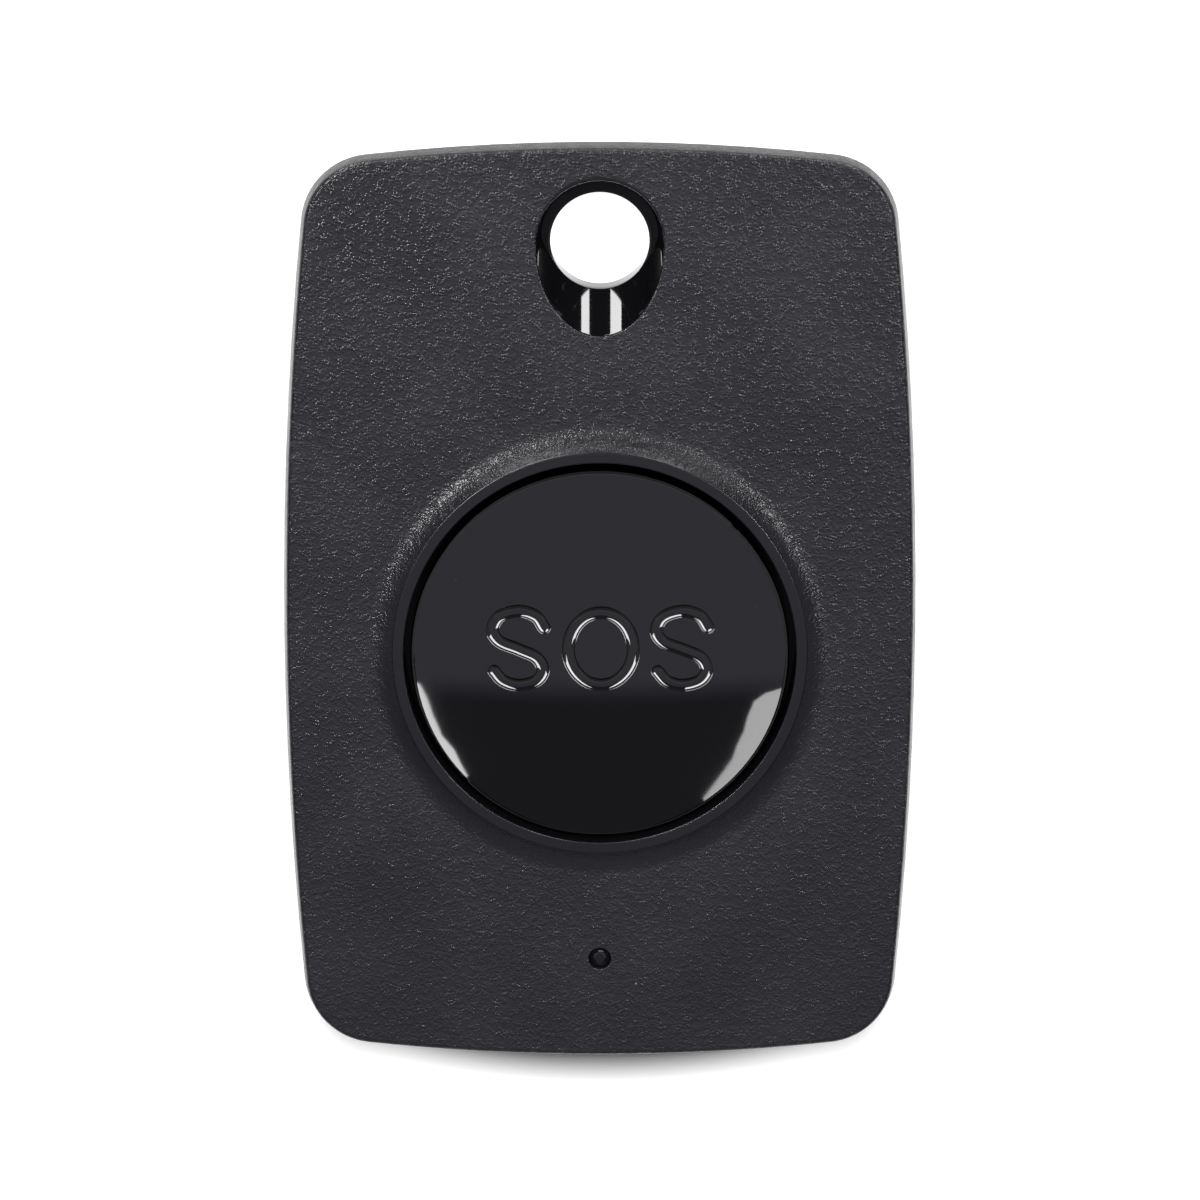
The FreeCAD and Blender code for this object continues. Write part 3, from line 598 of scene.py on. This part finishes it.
def scoopRows():
    # The edge's round is a curve from the face to the wall. It is widest at the top.
    rim = scoopWall(0)
    flat = rim[:, :2] - (0, scoop["y"])
    squeeze = np.where(scoopIsUpper, 1.0, (scoop["radius"] / scoop["drop"]) ** 2)
    normal = np.column_stack([flat[:, 0], flat[:, 1] * squeeze])
    normal /= np.hypot(*normal.T)[:, None]
    height = np.clip(np.where(scoopIsUpper, normal[:, 1], 0), 0, 1)
    reach = scoop["lowRound"] + (scoop["topRound"] - scoop["lowRound"]) * height ** scoop["roundPower"]
    outward = np.column_stack([normal * reach[:, None], np.zeros(len(rim))])
    sink = reach * (1 - scoop["lowSink"] * np.clip(-normal[:, 1], 0, 1))
    edge = list(bezier(rim + outward, rim, scoopWall(sink), scoop["edgeSteps"]))
    first = rim + outward * (1 + guard / reach)[:, None]
    wall = [scoopWall(sink + (scoop["depth"] - sink) * f)
            for f in np.linspace(0, 1, scoop["wallSteps"])[1:]]
    return [first] + edge, [edge[-1]] + wall


def holeRows(floorRing):
    # The hole's edge is as round as the floor beside it leaves room for.
    centre = np.array([0, scoop["holeY"]])
    away = floorRing[:, :2] - centre
    reach = np.hypot(*away.T)
    away /= reach[:, None]
    give = np.clip((reach - scoop["holeRadius"]) * scoop["holeShare"], scoop["holeLeast"],
                   scoop["holeRound"])
    top = floorRing[0, 2]

    def ring(radius, height):
        flat = centre + away * np.broadcast_to(radius, reach.shape)[:, None]
        return np.column_stack([flat, np.broadcast_to(height, reach.shape)])

    corner, foot = scoop["holeRadius"], scoop["holeFoot"]
    edge = list(bezier(ring(corner + give, top), ring(corner, top), ring(corner, top - give),
                       scoop["holeSteps"]))
    low = top - scoop["web"]
    wall = [edge[-1] * (1 - f) + ring(corner, low + foot) * f for f in scoop["holeWall"]]
    under = [ring(corner + foot, low)]
    return [floorRing] + edge, [edge[-1]] + wall, [wall[-1]] + under


def bossRing(height):
    # The outside of the wall around the recess, at a height inside the shell.
    grown = scoop["radius"] + scoop["wall"], scoop["drop"] + scoop["wall"]
    turn = np.where(scoopIsUpper, math.pi * scoopShare, math.pi * (1 + scoopShare))
    y = np.where(scoopIsUpper, grown[0], grown[1]) * np.sin(turn)
    return np.column_stack([grown[0] * np.cos(turn), scoop["y"] + y,
                            np.full(len(turn), height)])


def tonguePatch():
    # A rib along the outline, with a gap at the recess, as a square profile along a path.
    top, low = housing["partingHeight"], housing["partingHeight"] - tongue["depth"]
    outer, inner = tongue["inset"], tongue["inset"] + tongue["thickness"]
    corners = [outlineRing(outer, top), outlineRing(inner, top), outlineRing(inner, low),
               outlineRing(outer, low)]
    profile = np.stack(corners, 1)
    gone = (np.abs(profile[:, 0, 0]) < tongue["gapHalf"]) & (profile[:, 0, 1] > 0)
    start = np.flatnonzero(gone & ~np.roll(gone, -1))[0] + 1
    kept = np.roll(profile, -start, 0)[:(~gone).sum()]
    return [surface(kept), capPatch(kept[0]), capPatch(kept[-1])]


def postPatch(x, y, radius, bottom):
    top = housing["partingHeight"] + posts["seat"]
    profile = [(0.0, top), (radius, top), (radius, bottom), (0.0, bottom)]
    return surface(revolved(profile, y, posts["segments"], x))


def makeFrontShell():
    face, parting = housing["faceHeight"], housing["partingHeight"]
    lean = math.degrees(math.atan2(housing["draft"], face - parting))
    radius = housing["edgeRadius"]
    inward = housing["draft"] + radius * math.tan(math.radians(90 - lean) / 2)
    edge = [(inward - radius * math.cos(t), face - radius + radius * math.sin(t))
            for t in np.radians(np.linspace(90, lean, housing["edgeSteps"]))]
    low = housing["lowerEdge"]
    under = [(low * across, parting + low * up) for across, up in housing["lowerSteps"]]
    rim = [(inward + guard, face)] + edge + under + [(low + guard, parting)]
    shell = [surface([outlineRing(inset, z) for inset, z in rim])]

    profile = collarProfile()
    crest, segments = collar["slopeSteps"], collar["segments"]
    shell.append(surface(revolved(profile[:crest + 1], collar["y"], segments), material=skin))
    shell.append(surface(revolved(profile[crest:], collar["y"], segments), material=lip))

    edgeRows, wallRows = scoopRows()
    floorRows, holeWall, underRows = holeRows(wallRows[-1])
    skinEnd = scoop["skinSteps"]
    shell.append(surface(edgeRows[:skinEnd + 1], material=skin))
    # The recess floor round the lanyard hole takes the painted shade.
    shell.append(surface(floorRows[:2], material=shaded))
    shell += [surface(rows, material=gloss)
              for rows in (edgeRows[skinEnd:], wallRows, floorRows[1:], holeWall)]
    boss = [bossRing(underRows[-1][0, 2]), bossRing(parting)]
    shell.append(surface(underRows + boss))

    r, give = lampHole["radius"], lampHole["round"]
    lampEdge = arcPoints((r + give, face - give), give, 90, 180, lampHole["roundSteps"])
    lampRows = [(r + give + guard, face)] + lampEdge + [(r, parting)]
    shell.append(surface(revolved(lampRows, lampHole["y"], lampHole["segments"])))

    shell.append(flatPatch(outlineRing(inward + guard, face), [
        circle(collar["y"], profile[0][0], face, segments),
        edgeRows[0],
        circle(lampHole["y"], lampRows[0][0], face, lampHole["segments"])], face))
    shell.append(flatPatch(outlineRing(low + guard, parting), [
        circle(collar["y"], collar["opening"], parting, segments),
        boss[1],
        circle(lampHole["y"], r, parting, lampHole["segments"])], parting))
    shell += tonguePatch()
    for side in (-1, 1):
        shell += [postPatch(side * x, y, radius, bottom) for x, y, radius, bottom in posts["places"]]
    piece = makePiece("frontShell", shell, "housing", [looks[k] for k in shellLooks])
    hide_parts("front_cover")
    return piece


frontShell = makeFrontShell()
print("front shell made, faces:", len(frontShell.data.polygons))


# Raised letters: a rounded stroke that follows the cap's dome.

letters = {
    "y": -2.51,
    "crown": 13.7,
    "domeRadius": 130.0,
    "raise": 0.25,
    "plateau": 0.1,
    "crownRadius": 0.54,
    "crownSweep": 24.0,
    "wall": 0.38,
    "wallFoot": 0.05,
    "footBend": 0.005,
    "foot": 0.44,
    "sunk": 0.06,
    "steps": {"crown": 9, "drop": 8, "foot": 5, "end": 20, "oval": 160},
    "ovalHalf": (2.06, 2.37),
    "places": (("letterFirst", -5.16), ("letterMiddle", 0.07), ("letterLast", 5.26)),
}
# The middle of the stroke of an S, from its upper end to its lower one.
strokeRoute = [(1.62, 1.38), (1.1, 2.12), (0.0, 2.45), (-1.22, 2.07), (-1.66, 1.22),
               (-1.22, 0.45), (0.0, -0.06), (1.14, -0.6), (1.54, -1.4), (1.1, -2.13),
               (0.0, -2.42), (-0.98, -2.14), (-1.56, -1.5)]


def smoothRoute(points, perSpan=14):
    # Between two points the curve is a cubic whose slopes at both are half the way between
    # their neighbours.
    p = np.array(points)
    p = np.concatenate([[2 * p[0] - p[1]], p, [2 * p[-1] - p[-2]]])
    t = np.linspace(0, 1, perSpan, endpoint=False)[:, None]
    spans = []
    for a, b, c, d in zip(p[:-3], p[1:-2], p[2:-1], p[3:]):
        spans.append(0.5 * (2 * b + (c - a) * t + (2 * a - 5 * b + 4 * c - d) * t ** 2
                            + (3 * b - a - 3 * c + d) * t ** 3))
    return np.concatenate(spans + [p[-2:-1]])


def strokeProfile():
    # Distance from the stroke's middle and height: a plateau, an arc of the crown's radius
    # over its sweep, a tight curve down to the wall and a small foot.
    steps = letters["steps"]
    crown = arcPoints((letters["plateau"], letters["raise"] - letters["crownRadius"]),
                      letters["crownRadius"], 90, 90 - letters["crownSweep"], steps["crown"])
    reach, height = crown[-1]
    turnHeight = height - (letters["wall"] - reach) * math.tan(math.radians(letters["crownSweep"]))
    drop = bezier(np.array([reach, height]), np.array([letters["wall"], turnHeight]),
                  np.array([letters["wall"], letters["wallFoot"]]), steps["drop"])[1:]
    shoulder = crown + [tuple(p) for p in drop]
    foot = bezier(np.array(shoulder[-1]), np.array([letters["wall"] + letters["footBend"], 0.0]),
                  np.array([letters["foot"], 0.0]), steps["foot"])[1:]
    return ([(0.0, letters["raise"]), (letters["plateau"] - guard, letters["raise"])] + shoulder
            + [tuple(p) for p in foot] + [(letters["foot"], -letters["sunk"])])


def onDome(flat, centreX, rise):
    # Points at a rise above the cap's dome, which drops by R - sqrt(R^2 - distance^2).
    x, y = flat[:, 0] + centreX, flat[:, 1] + letters["y"]
    away = x ** 2 + (y - collar["y"]) ** 2
    drop = letters["domeRadius"] - np.sqrt(letters["domeRadius"] ** 2 - away)
    return np.column_stack([x, y, letters["crown"] - drop + rise])


def makeLetter(name, centreX, oval):
    profile, steps = strokeProfile(), letters["steps"]
    if oval:
        turn = np.arange(steps["oval"]) * 2 * math.pi / steps["oval"]
        a, b = letters["ovalHalf"]
        middle = np.column_stack([a * np.cos(turn), b * np.sin(turn)])
        normal = np.column_stack([b * np.cos(turn), a * np.sin(turn)])
        normal /= np.hypot(*normal.T)[:, None]
        across = [(-u, h) for u, h in profile[:0:-1]] + profile
        rows = [onDome(middle + u * normal, centreX, h) for u, h in across]
        rows.append(rows[0])
        patches = [surface(rows)]
    else:
        # One loop runs along one side of the stroke, round its end and back on the other.
        route = smoothRoute(strokeRoute)
        along = np.gradient(route, axis=0)
        along /= np.hypot(*along.T)[:, None]
        side = np.column_stack([along[:, 1], -along[:, 0]])
        swing = np.linspace(0, math.pi, steps["end"] + 2)[1:-1, None]
        farTurn = side[-1] * np.cos(swing) + along[-1] * np.sin(swing)
        nearTurn = -side[0] * np.cos(swing) - along[0] * np.sin(swing)
        middle = np.concatenate([route, np.repeat(route[-1:], steps["end"], 0), route[::-1],
                                 np.repeat(route[:1], steps["end"], 0)])
        normal = np.concatenate([side, farTurn, -side[::-1], nearTurn])
        rows = [onDome(middle + u * normal, centreX, h) for u, h in profile]
        rows.append(onDome(middle, centreX, -letters["sunk"]))
        patches = [surface(rows)]
    return makePiece(name, patches, "button", [looks["capGloss"]])


letterPieces = [makeLetter(letterName, letterX, letterName == "letterMiddle")
                for letterName, letterX in letters["places"]]
print("letters made")


# Camera: on the +Y side of the face's normal by the tilt, one metre away.

camera = {
    "tiltDegrees": 15.0,
    "distance": 1.0,
    "lens": 471.8,
    "sensor": 36.0,
    "aim": (0.0000127, 0.0, 0.0125),
    "raise": 0.00035,
    "clip": (0.05, 10.0),
}


def directionFrom(tiltDegrees, turnDegrees=0.0):
    # A unit vector that leans from the vertical by the tilt, towards +Y turned by the turn.
    tilt, turn = math.radians(tiltDegrees), math.radians(turnDegrees)
    return Vector((math.sin(tilt) * math.sin(turn), math.sin(tilt) * math.cos(turn),
                   math.cos(tilt)))


def pointing(direction, upward):
    # The turn that looks against the direction, with its own Y as near to upward as it can be.
    back = Vector(direction).normalized()
    right = Vector(upward).cross(back).normalized()
    top = back.cross(right)
    return Matrix((right, top, back)).transposed()


def makeCamera():
    data = bpy.data.cameras.new("camera")
    data.lens = camera["lens"]
    data.sensor_width = camera["sensor"]
    data.clip_start, data.clip_end = camera["clip"]
    viewer = bpy.data.objects.new("camera", data)
    bpy.context.scene.collection.objects.link(viewer)
    towards = directionFrom(camera["tiltDegrees"])
    turn = pointing(towards, (0, 1, 0))
    aim = Vector(camera["aim"]) + turn.col[1] * camera["raise"]
    viewer.matrix_world = Matrix.Translation(aim + towards * camera["distance"]) @ turn.to_4x4()
    bpy.context.scene.camera = viewer


makeCamera()


# Light: a lamp faces the object from a tilt and a turn. What it shows is the radiance of its
# reflection. It lights only the group named, all without the group named, or everything.

steepTilt = 45.0
lamps = {
    "keyLamp": {"tilt": 20.0, "turn": 0.0, "distance": 1.4, "size": (0.25, 0.25), "shows": 96.0,
                "without": "cap", "diffuseOnly": True},
    "sparkLeft": {"tilt": 29.0, "turn": -55.0, "distance": 0.22, "size": (0.032, 0.032),
                  "shows": 92.0, "only": "shell", "glossOnly": True},
    "sparkRight": {"tilt": 31.0, "turn": 70.0, "distance": 0.22, "size": (0.032, 0.032),
                   "shows": 54.0, "only": "shell", "glossOnly": True},
    "topLamp": {"tilt": 56.0, "turn": -14.0, "distance": 0.142, "size": (0.03, 0.03),
                "shows": 4.5, "only": "shell"},
    "leftEdge": {"tilt": 54.0, "turn": -76.0, "distance": 0.45, "size": (0.038, 0.15),
                 "shows": 4.0, "only": "shell", "glossOnly": True},
    "rightEdge": {"tilt": 54.0, "turn": 60.0, "distance": 0.45, "size": (0.038, 0.15),
                  "shows": 4.0, "only": "shell", "glossOnly": True},
    "pipeLamp": {"tilt": 42.0, "turn": 14.0, "distance": 0.4, "size": (0.26, 0.2),
                 "shows": 4.5, "only": "pipe", "glossOnly": True},
    "leftStrip": {"tilt": 71.0, "turn": -25.0, "distance": 0.6, "size": (0.165, 0.34),
                  "shows": 18.0, "only": "shell", "glossOnly": True},
    "rightStrip": {"tilt": 71.0, "turn": 22.5, "distance": 0.6, "size": (0.12, 0.34),
                   "shows": 18.0, "only": "shell", "glossOnly": True},
}
groups = {
    "cap": [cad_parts["button_cap"]] + letterPieces,
    "letters": letterPieces,
    "shell": [frontShell],
    "pipe": [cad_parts["light_pipe"]],
}


def lightOnly(source, pieces):
    group = bpy.data.collections.new(source.name + "Lights")
    for piece in pieces:
        group.objects.link(piece)
    source.light_linking.receiver_collection = group


def makeLamp(name, spec):
    width, height = spec["size"]
    data = bpy.data.lights.new(name, "AREA")
    data.shape = "RECTANGLE"
    data.size, data.size_y = width, height
    data.energy = spec["shows"] * math.pi * width * height
    lamp = bpy.data.objects.new(name, data)
    bpy.context.scene.collection.objects.link(lamp)
    towards = directionFrom(spec["tilt"], spec["turn"])
    upward = (0, 0, 1) if spec["tilt"] > steepTilt else (0, 1, 0)
    lamp.matrix_world = (Matrix.Translation(towards * spec["distance"])
                         @ pointing(towards, upward).to_4x4())
    lamp.visible_camera = False
    lamp.visible_diffuse = not spec.get("glossOnly", False)
    lamp.visible_glossy = not spec.get("diffuseOnly", False)
    if "only" in spec:
        lightOnly(lamp, groups[spec["only"]])
    if "without" in spec:
        lightOnly(lamp, [o for o in bpy.context.scene.objects
                         if o.type == "MESH" and o not in groups[spec["without"]]])


# Cards show only in gloss. Each has its corners in metres and the shade that it shows. One with
# a near shade changes to it over its fade along Y. One for some pieces is dark to the rest.
cards = {
    "overhead": {"corners": ((-0.25, -0.8, 0.45), (0.25, -0.8, 0.45), (0.25, 0.02, 0.45),
                             (-0.25, 0.02, 0.45)), "shade": 0.68, "nearShade": 0.21,
                 "fade": (-0.152, -0.132), "tint": (1.0, 0.96, 1.15)},
    "frontDark": {"corners": ((-0.9, -0.8, -0.1), (0.9, -0.8, -0.1), (0.9, -0.8, 0.45),
                              (-0.9, -0.8, 0.45)), "shade": 0.3},
    "leftDark": {"corners": ((-0.25, -0.8, 0.45), (-0.25, 0.8, 0.45), (-0.9, 0.8, -0.1),
                             (-0.9, -0.8, -0.1)), "shade": 0.55, "only": "cap"},
    "rightDark": {"corners": ((0.25, -0.8, 0.45), (0.25, 0.8, 0.45), (0.9, 0.8, -0.1),
                              (0.9, -0.8, -0.1)), "shade": 0.55, "only": "cap"},
    "backDark": {"corners": ((-0.9, 0.8, -0.1), (0.9, 0.8, -0.1), (0.9, 0.3, 1.5),
                             (-0.9, 0.3, 1.5)), "shade": 0.35, "only": "cap"},
    "leftNear": {"corners": ((-0.0808, -0.1238, 0.4), (-0.08, -0.1247, 0.4),
                             (-0.0775, -0.1318, 0.4), (-0.0752, -0.1399, 0.4),
                             (-0.0712, -0.1503, 0.4), (-0.0662, -0.1576, 0.4),
                             (-0.0626, -0.1649, 0.4), (-0.0595, -0.1703, 0.4),
                             (-0.0833, -0.196, 0.4), (-0.125, -0.16, 0.4),
                             (-0.12, -0.1238, 0.4)), "shade": 15.0, "only": "cap"},
    "leftFar": {"corners": ((-0.12, -0.1225, 0.4), (-0.0625, -0.174, 0.4),
                            (-0.051, -0.315, 0.3), (-0.30, -0.22, 0.3)),
                "shade": 20.0, "only": "letters"},
    "rightNear": {"corners": ((0.0806, -0.1265, 0.4), (0.0756, -0.1292, 0.4),
                              (0.072, -0.1335, 0.4), (0.0693, -0.1412, 0.4),
                              (0.0671, -0.1488, 0.4), (0.0637, -0.156, 0.4),
                              (0.061, -0.1626, 0.4), (0.0565, -0.1692, 0.4),
                              (0.0514, -0.1759, 0.4), (0.0467, -0.1818, 0.4),
                              (0.065, -0.212, 0.4), (0.13, -0.16, 0.4),
                              (0.12, -0.1265, 0.4)), "shade": 9.4, "only": "cap"},
    "rightFar": {"corners": ((0.12, -0.124, 0.4), (0.048, -0.186, 0.4),
                             (0.051, -0.315, 0.3), (0.30, -0.22, 0.3)),
                 "shade": 20.0, "only": "letters"},
}


def makeCard(name, spec):
    mesh = bpy.data.meshes.new(name)
    mesh.from_pydata(spec["corners"], [], [tuple(range(len(spec["corners"])))])
    material = bpy.data.materials.new(name)
    material.use_nodes = True
    tree = material.node_tree
    tree.nodes.clear()
    glow = addNode(tree, "ShaderNodeEmission", values={"Strength": spec["shade"]})
    out = addNode(tree, "ShaderNodeOutputMaterial")
    glow.inputs["Color"].default_value = (*spec.get("tint", (1.0, 1.0, 1.0)), 1)
    if "fade" in spec:
        place = addNode(tree, "ShaderNodeTexCoord")
        split = addNode(tree, "ShaderNodeSeparateXYZ")
        fade = addNode(tree, "ShaderNodeMapRange", {"interpolation_type": "SMOOTHSTEP"}, {
            "From Min": spec["fade"][0], "From Max": spec["fade"][1],
            "To Min": spec["nearShade"], "To Max": spec["shade"]})
        tree.links.new(place.outputs["Object"], split.inputs["Vector"])
        tree.links.new(split.outputs["Y"], fade.inputs["Value"])
        tree.links.new(fade.outputs["Result"], glow.inputs["Strength"])
    tree.links.new(glow.outputs["Emission"], out.inputs["Surface"])
    mesh.materials.append(material)
    card = bpy.data.objects.new(name, mesh)
    bpy.context.scene.collection.objects.link(card)
    card.visible_camera = False
    card.visible_diffuse = False
    card.visible_shadow = False
    if "only" in spec:
        lightOnly(card, groups[spec["only"]])


def seenRays(tree):
    # 1 for camera, glossy and transmission rays, and 0 for the rest.
    rays = addNode(tree, "ShaderNodeLightPath")
    first = addNode(tree, "ShaderNodeMath", {"operation": "MAXIMUM"})
    both = addNode(tree, "ShaderNodeMath", {"operation": "MAXIMUM"})
    tree.links.new(rays.outputs["Is Camera Ray"], first.inputs[0])
    tree.links.new(rays.outputs["Is Glossy Ray"], first.inputs[1])
    tree.links.new(first.outputs[0], both.inputs[0])
    tree.links.new(rays.outputs["Is Transmission Ray"], both.inputs[1])
    return both.outputs[0]


ambient = 0.12


def makeWorld():
    # White where it is seen or reflected, dim as a light.
    world = bpy.data.worlds.new("studio")
    world.use_nodes = True
    tree = world.node_tree
    back = tree.nodes["Background"]
    mix = addNode(tree, "ShaderNodeMix", {"data_type": "RGBA"})
    mix.inputs["A"].default_value = (ambient, ambient, ambient, 1)
    mix.inputs["B"].default_value = (1, 1, 1, 1)
    tree.links.new(seenRays(tree), mix.inputs["Factor"])
    tree.links.new(mix.outputs["Result"], back.inputs["Color"])
    bpy.context.scene.world = world


makeWorld()

ground = {
    "half": 3.0,
    "albedo": 0.92,
    "roughness": 0.9,
    "glow": 0.6,
    "holePlace": (0, 0.0207, 0),
    "holeReach": (0.0045, 0.00495),
    "shadowPlace": (0, -0.0305, 0),
    "shadowHalf": (0.0175, 0.0065, 1.0),
    "shadowCore": 0.45,
}


def makeFloor():
    # A pale floor with its shadows. What is seen of it glows a little, less so in the deep
    # shadow at the near end and fully so under the lanyard hole, where no lamp reaches.
    half, albedo = ground["half"], ground["albedo"]
    mesh = bpy.data.meshes.new("floor")
    mesh.from_pydata([(-half, -half, 0), (half, -half, 0), (half, half, 0), (-half, half, 0)],
                     [], [(0, 1, 2, 3)])
    material = bpy.data.materials.new("floor")
    material.use_nodes = True
    tree = material.node_tree
    shader = tree.nodes["Principled BSDF"]
    shader.inputs["Base Color"].default_value = (albedo, albedo, albedo, 1)
    shader.inputs["Roughness"].default_value = ground["roughness"]
    shader.inputs["Specular IOR Level"].default_value = 0.0
    shader.inputs["Emission Color"].default_value = (1, 1, 1, 1)
    place = addNode(tree, "ShaderNodeTexCoord")
    apart = addNode(tree, "ShaderNodeVectorMath", {"operation": "DISTANCE"})
    apart.inputs[1].default_value = ground["holePlace"]
    near = addNode(tree, "ShaderNodeMapRange", values={
        "From Min": ground["holeReach"][0], "From Max": ground["holeReach"][1],
        "To Min": 1.0, "To Max": 0.0})
    offset = addNode(tree, "ShaderNodeVectorMath", {"operation": "SUBTRACT"})
    offset.inputs[1].default_value = ground["shadowPlace"]
    oval = addNode(tree, "ShaderNodeVectorMath", {"operation": "DIVIDE"})
    oval.inputs[1].default_value = ground["shadowHalf"]
    length = addNode(tree, "ShaderNodeVectorMath", {"operation": "LENGTH"})
    light = addNode(tree, "ShaderNodeMapRange", {"interpolation_type": "SMOOTHSTEP"}, {
        "From Min": ground["shadowCore"], "From Max": 1.0, "To Min": 0.0,
        "To Max": ground["glow"]})
    most = addNode(tree, "ShaderNodeMath", {"operation": "MAXIMUM"})
    seen = addNode(tree, "ShaderNodeMath", {"operation": "MULTIPLY"})
    tree.links.new(place.outputs["Object"], apart.inputs[0])
    tree.links.new(apart.outputs["Value"], near.inputs["Value"])
    tree.links.new(place.outputs["Object"], offset.inputs[0])
    tree.links.new(offset.outputs[0], oval.inputs[0])
    tree.links.new(oval.outputs[0], length.inputs[0])
    tree.links.new(length.outputs["Value"], light.inputs["Value"])
    tree.links.new(near.outputs["Result"], most.inputs[0])
    tree.links.new(light.outputs["Result"], most.inputs[1])
    tree.links.new(most.outputs[0], seen.inputs[0])
    tree.links.new(seenRays(tree), seen.inputs[1])
    tree.links.new(seen.outputs[0], shader.inputs["Emission Strength"])
    mesh.materials.append(material)
    floor = bpy.data.objects.new("floor", mesh)
    bpy.context.scene.collection.objects.link(floor)


makeFloor()
for lampName, lampSpec in lamps.items():
    makeLamp(lampName, lampSpec)
for cardName, cardSpec in cards.items():
    makeCard(cardName, cardSpec)
bpy.context.scene.view_settings.view_transform = "Standard"
print("stage made")
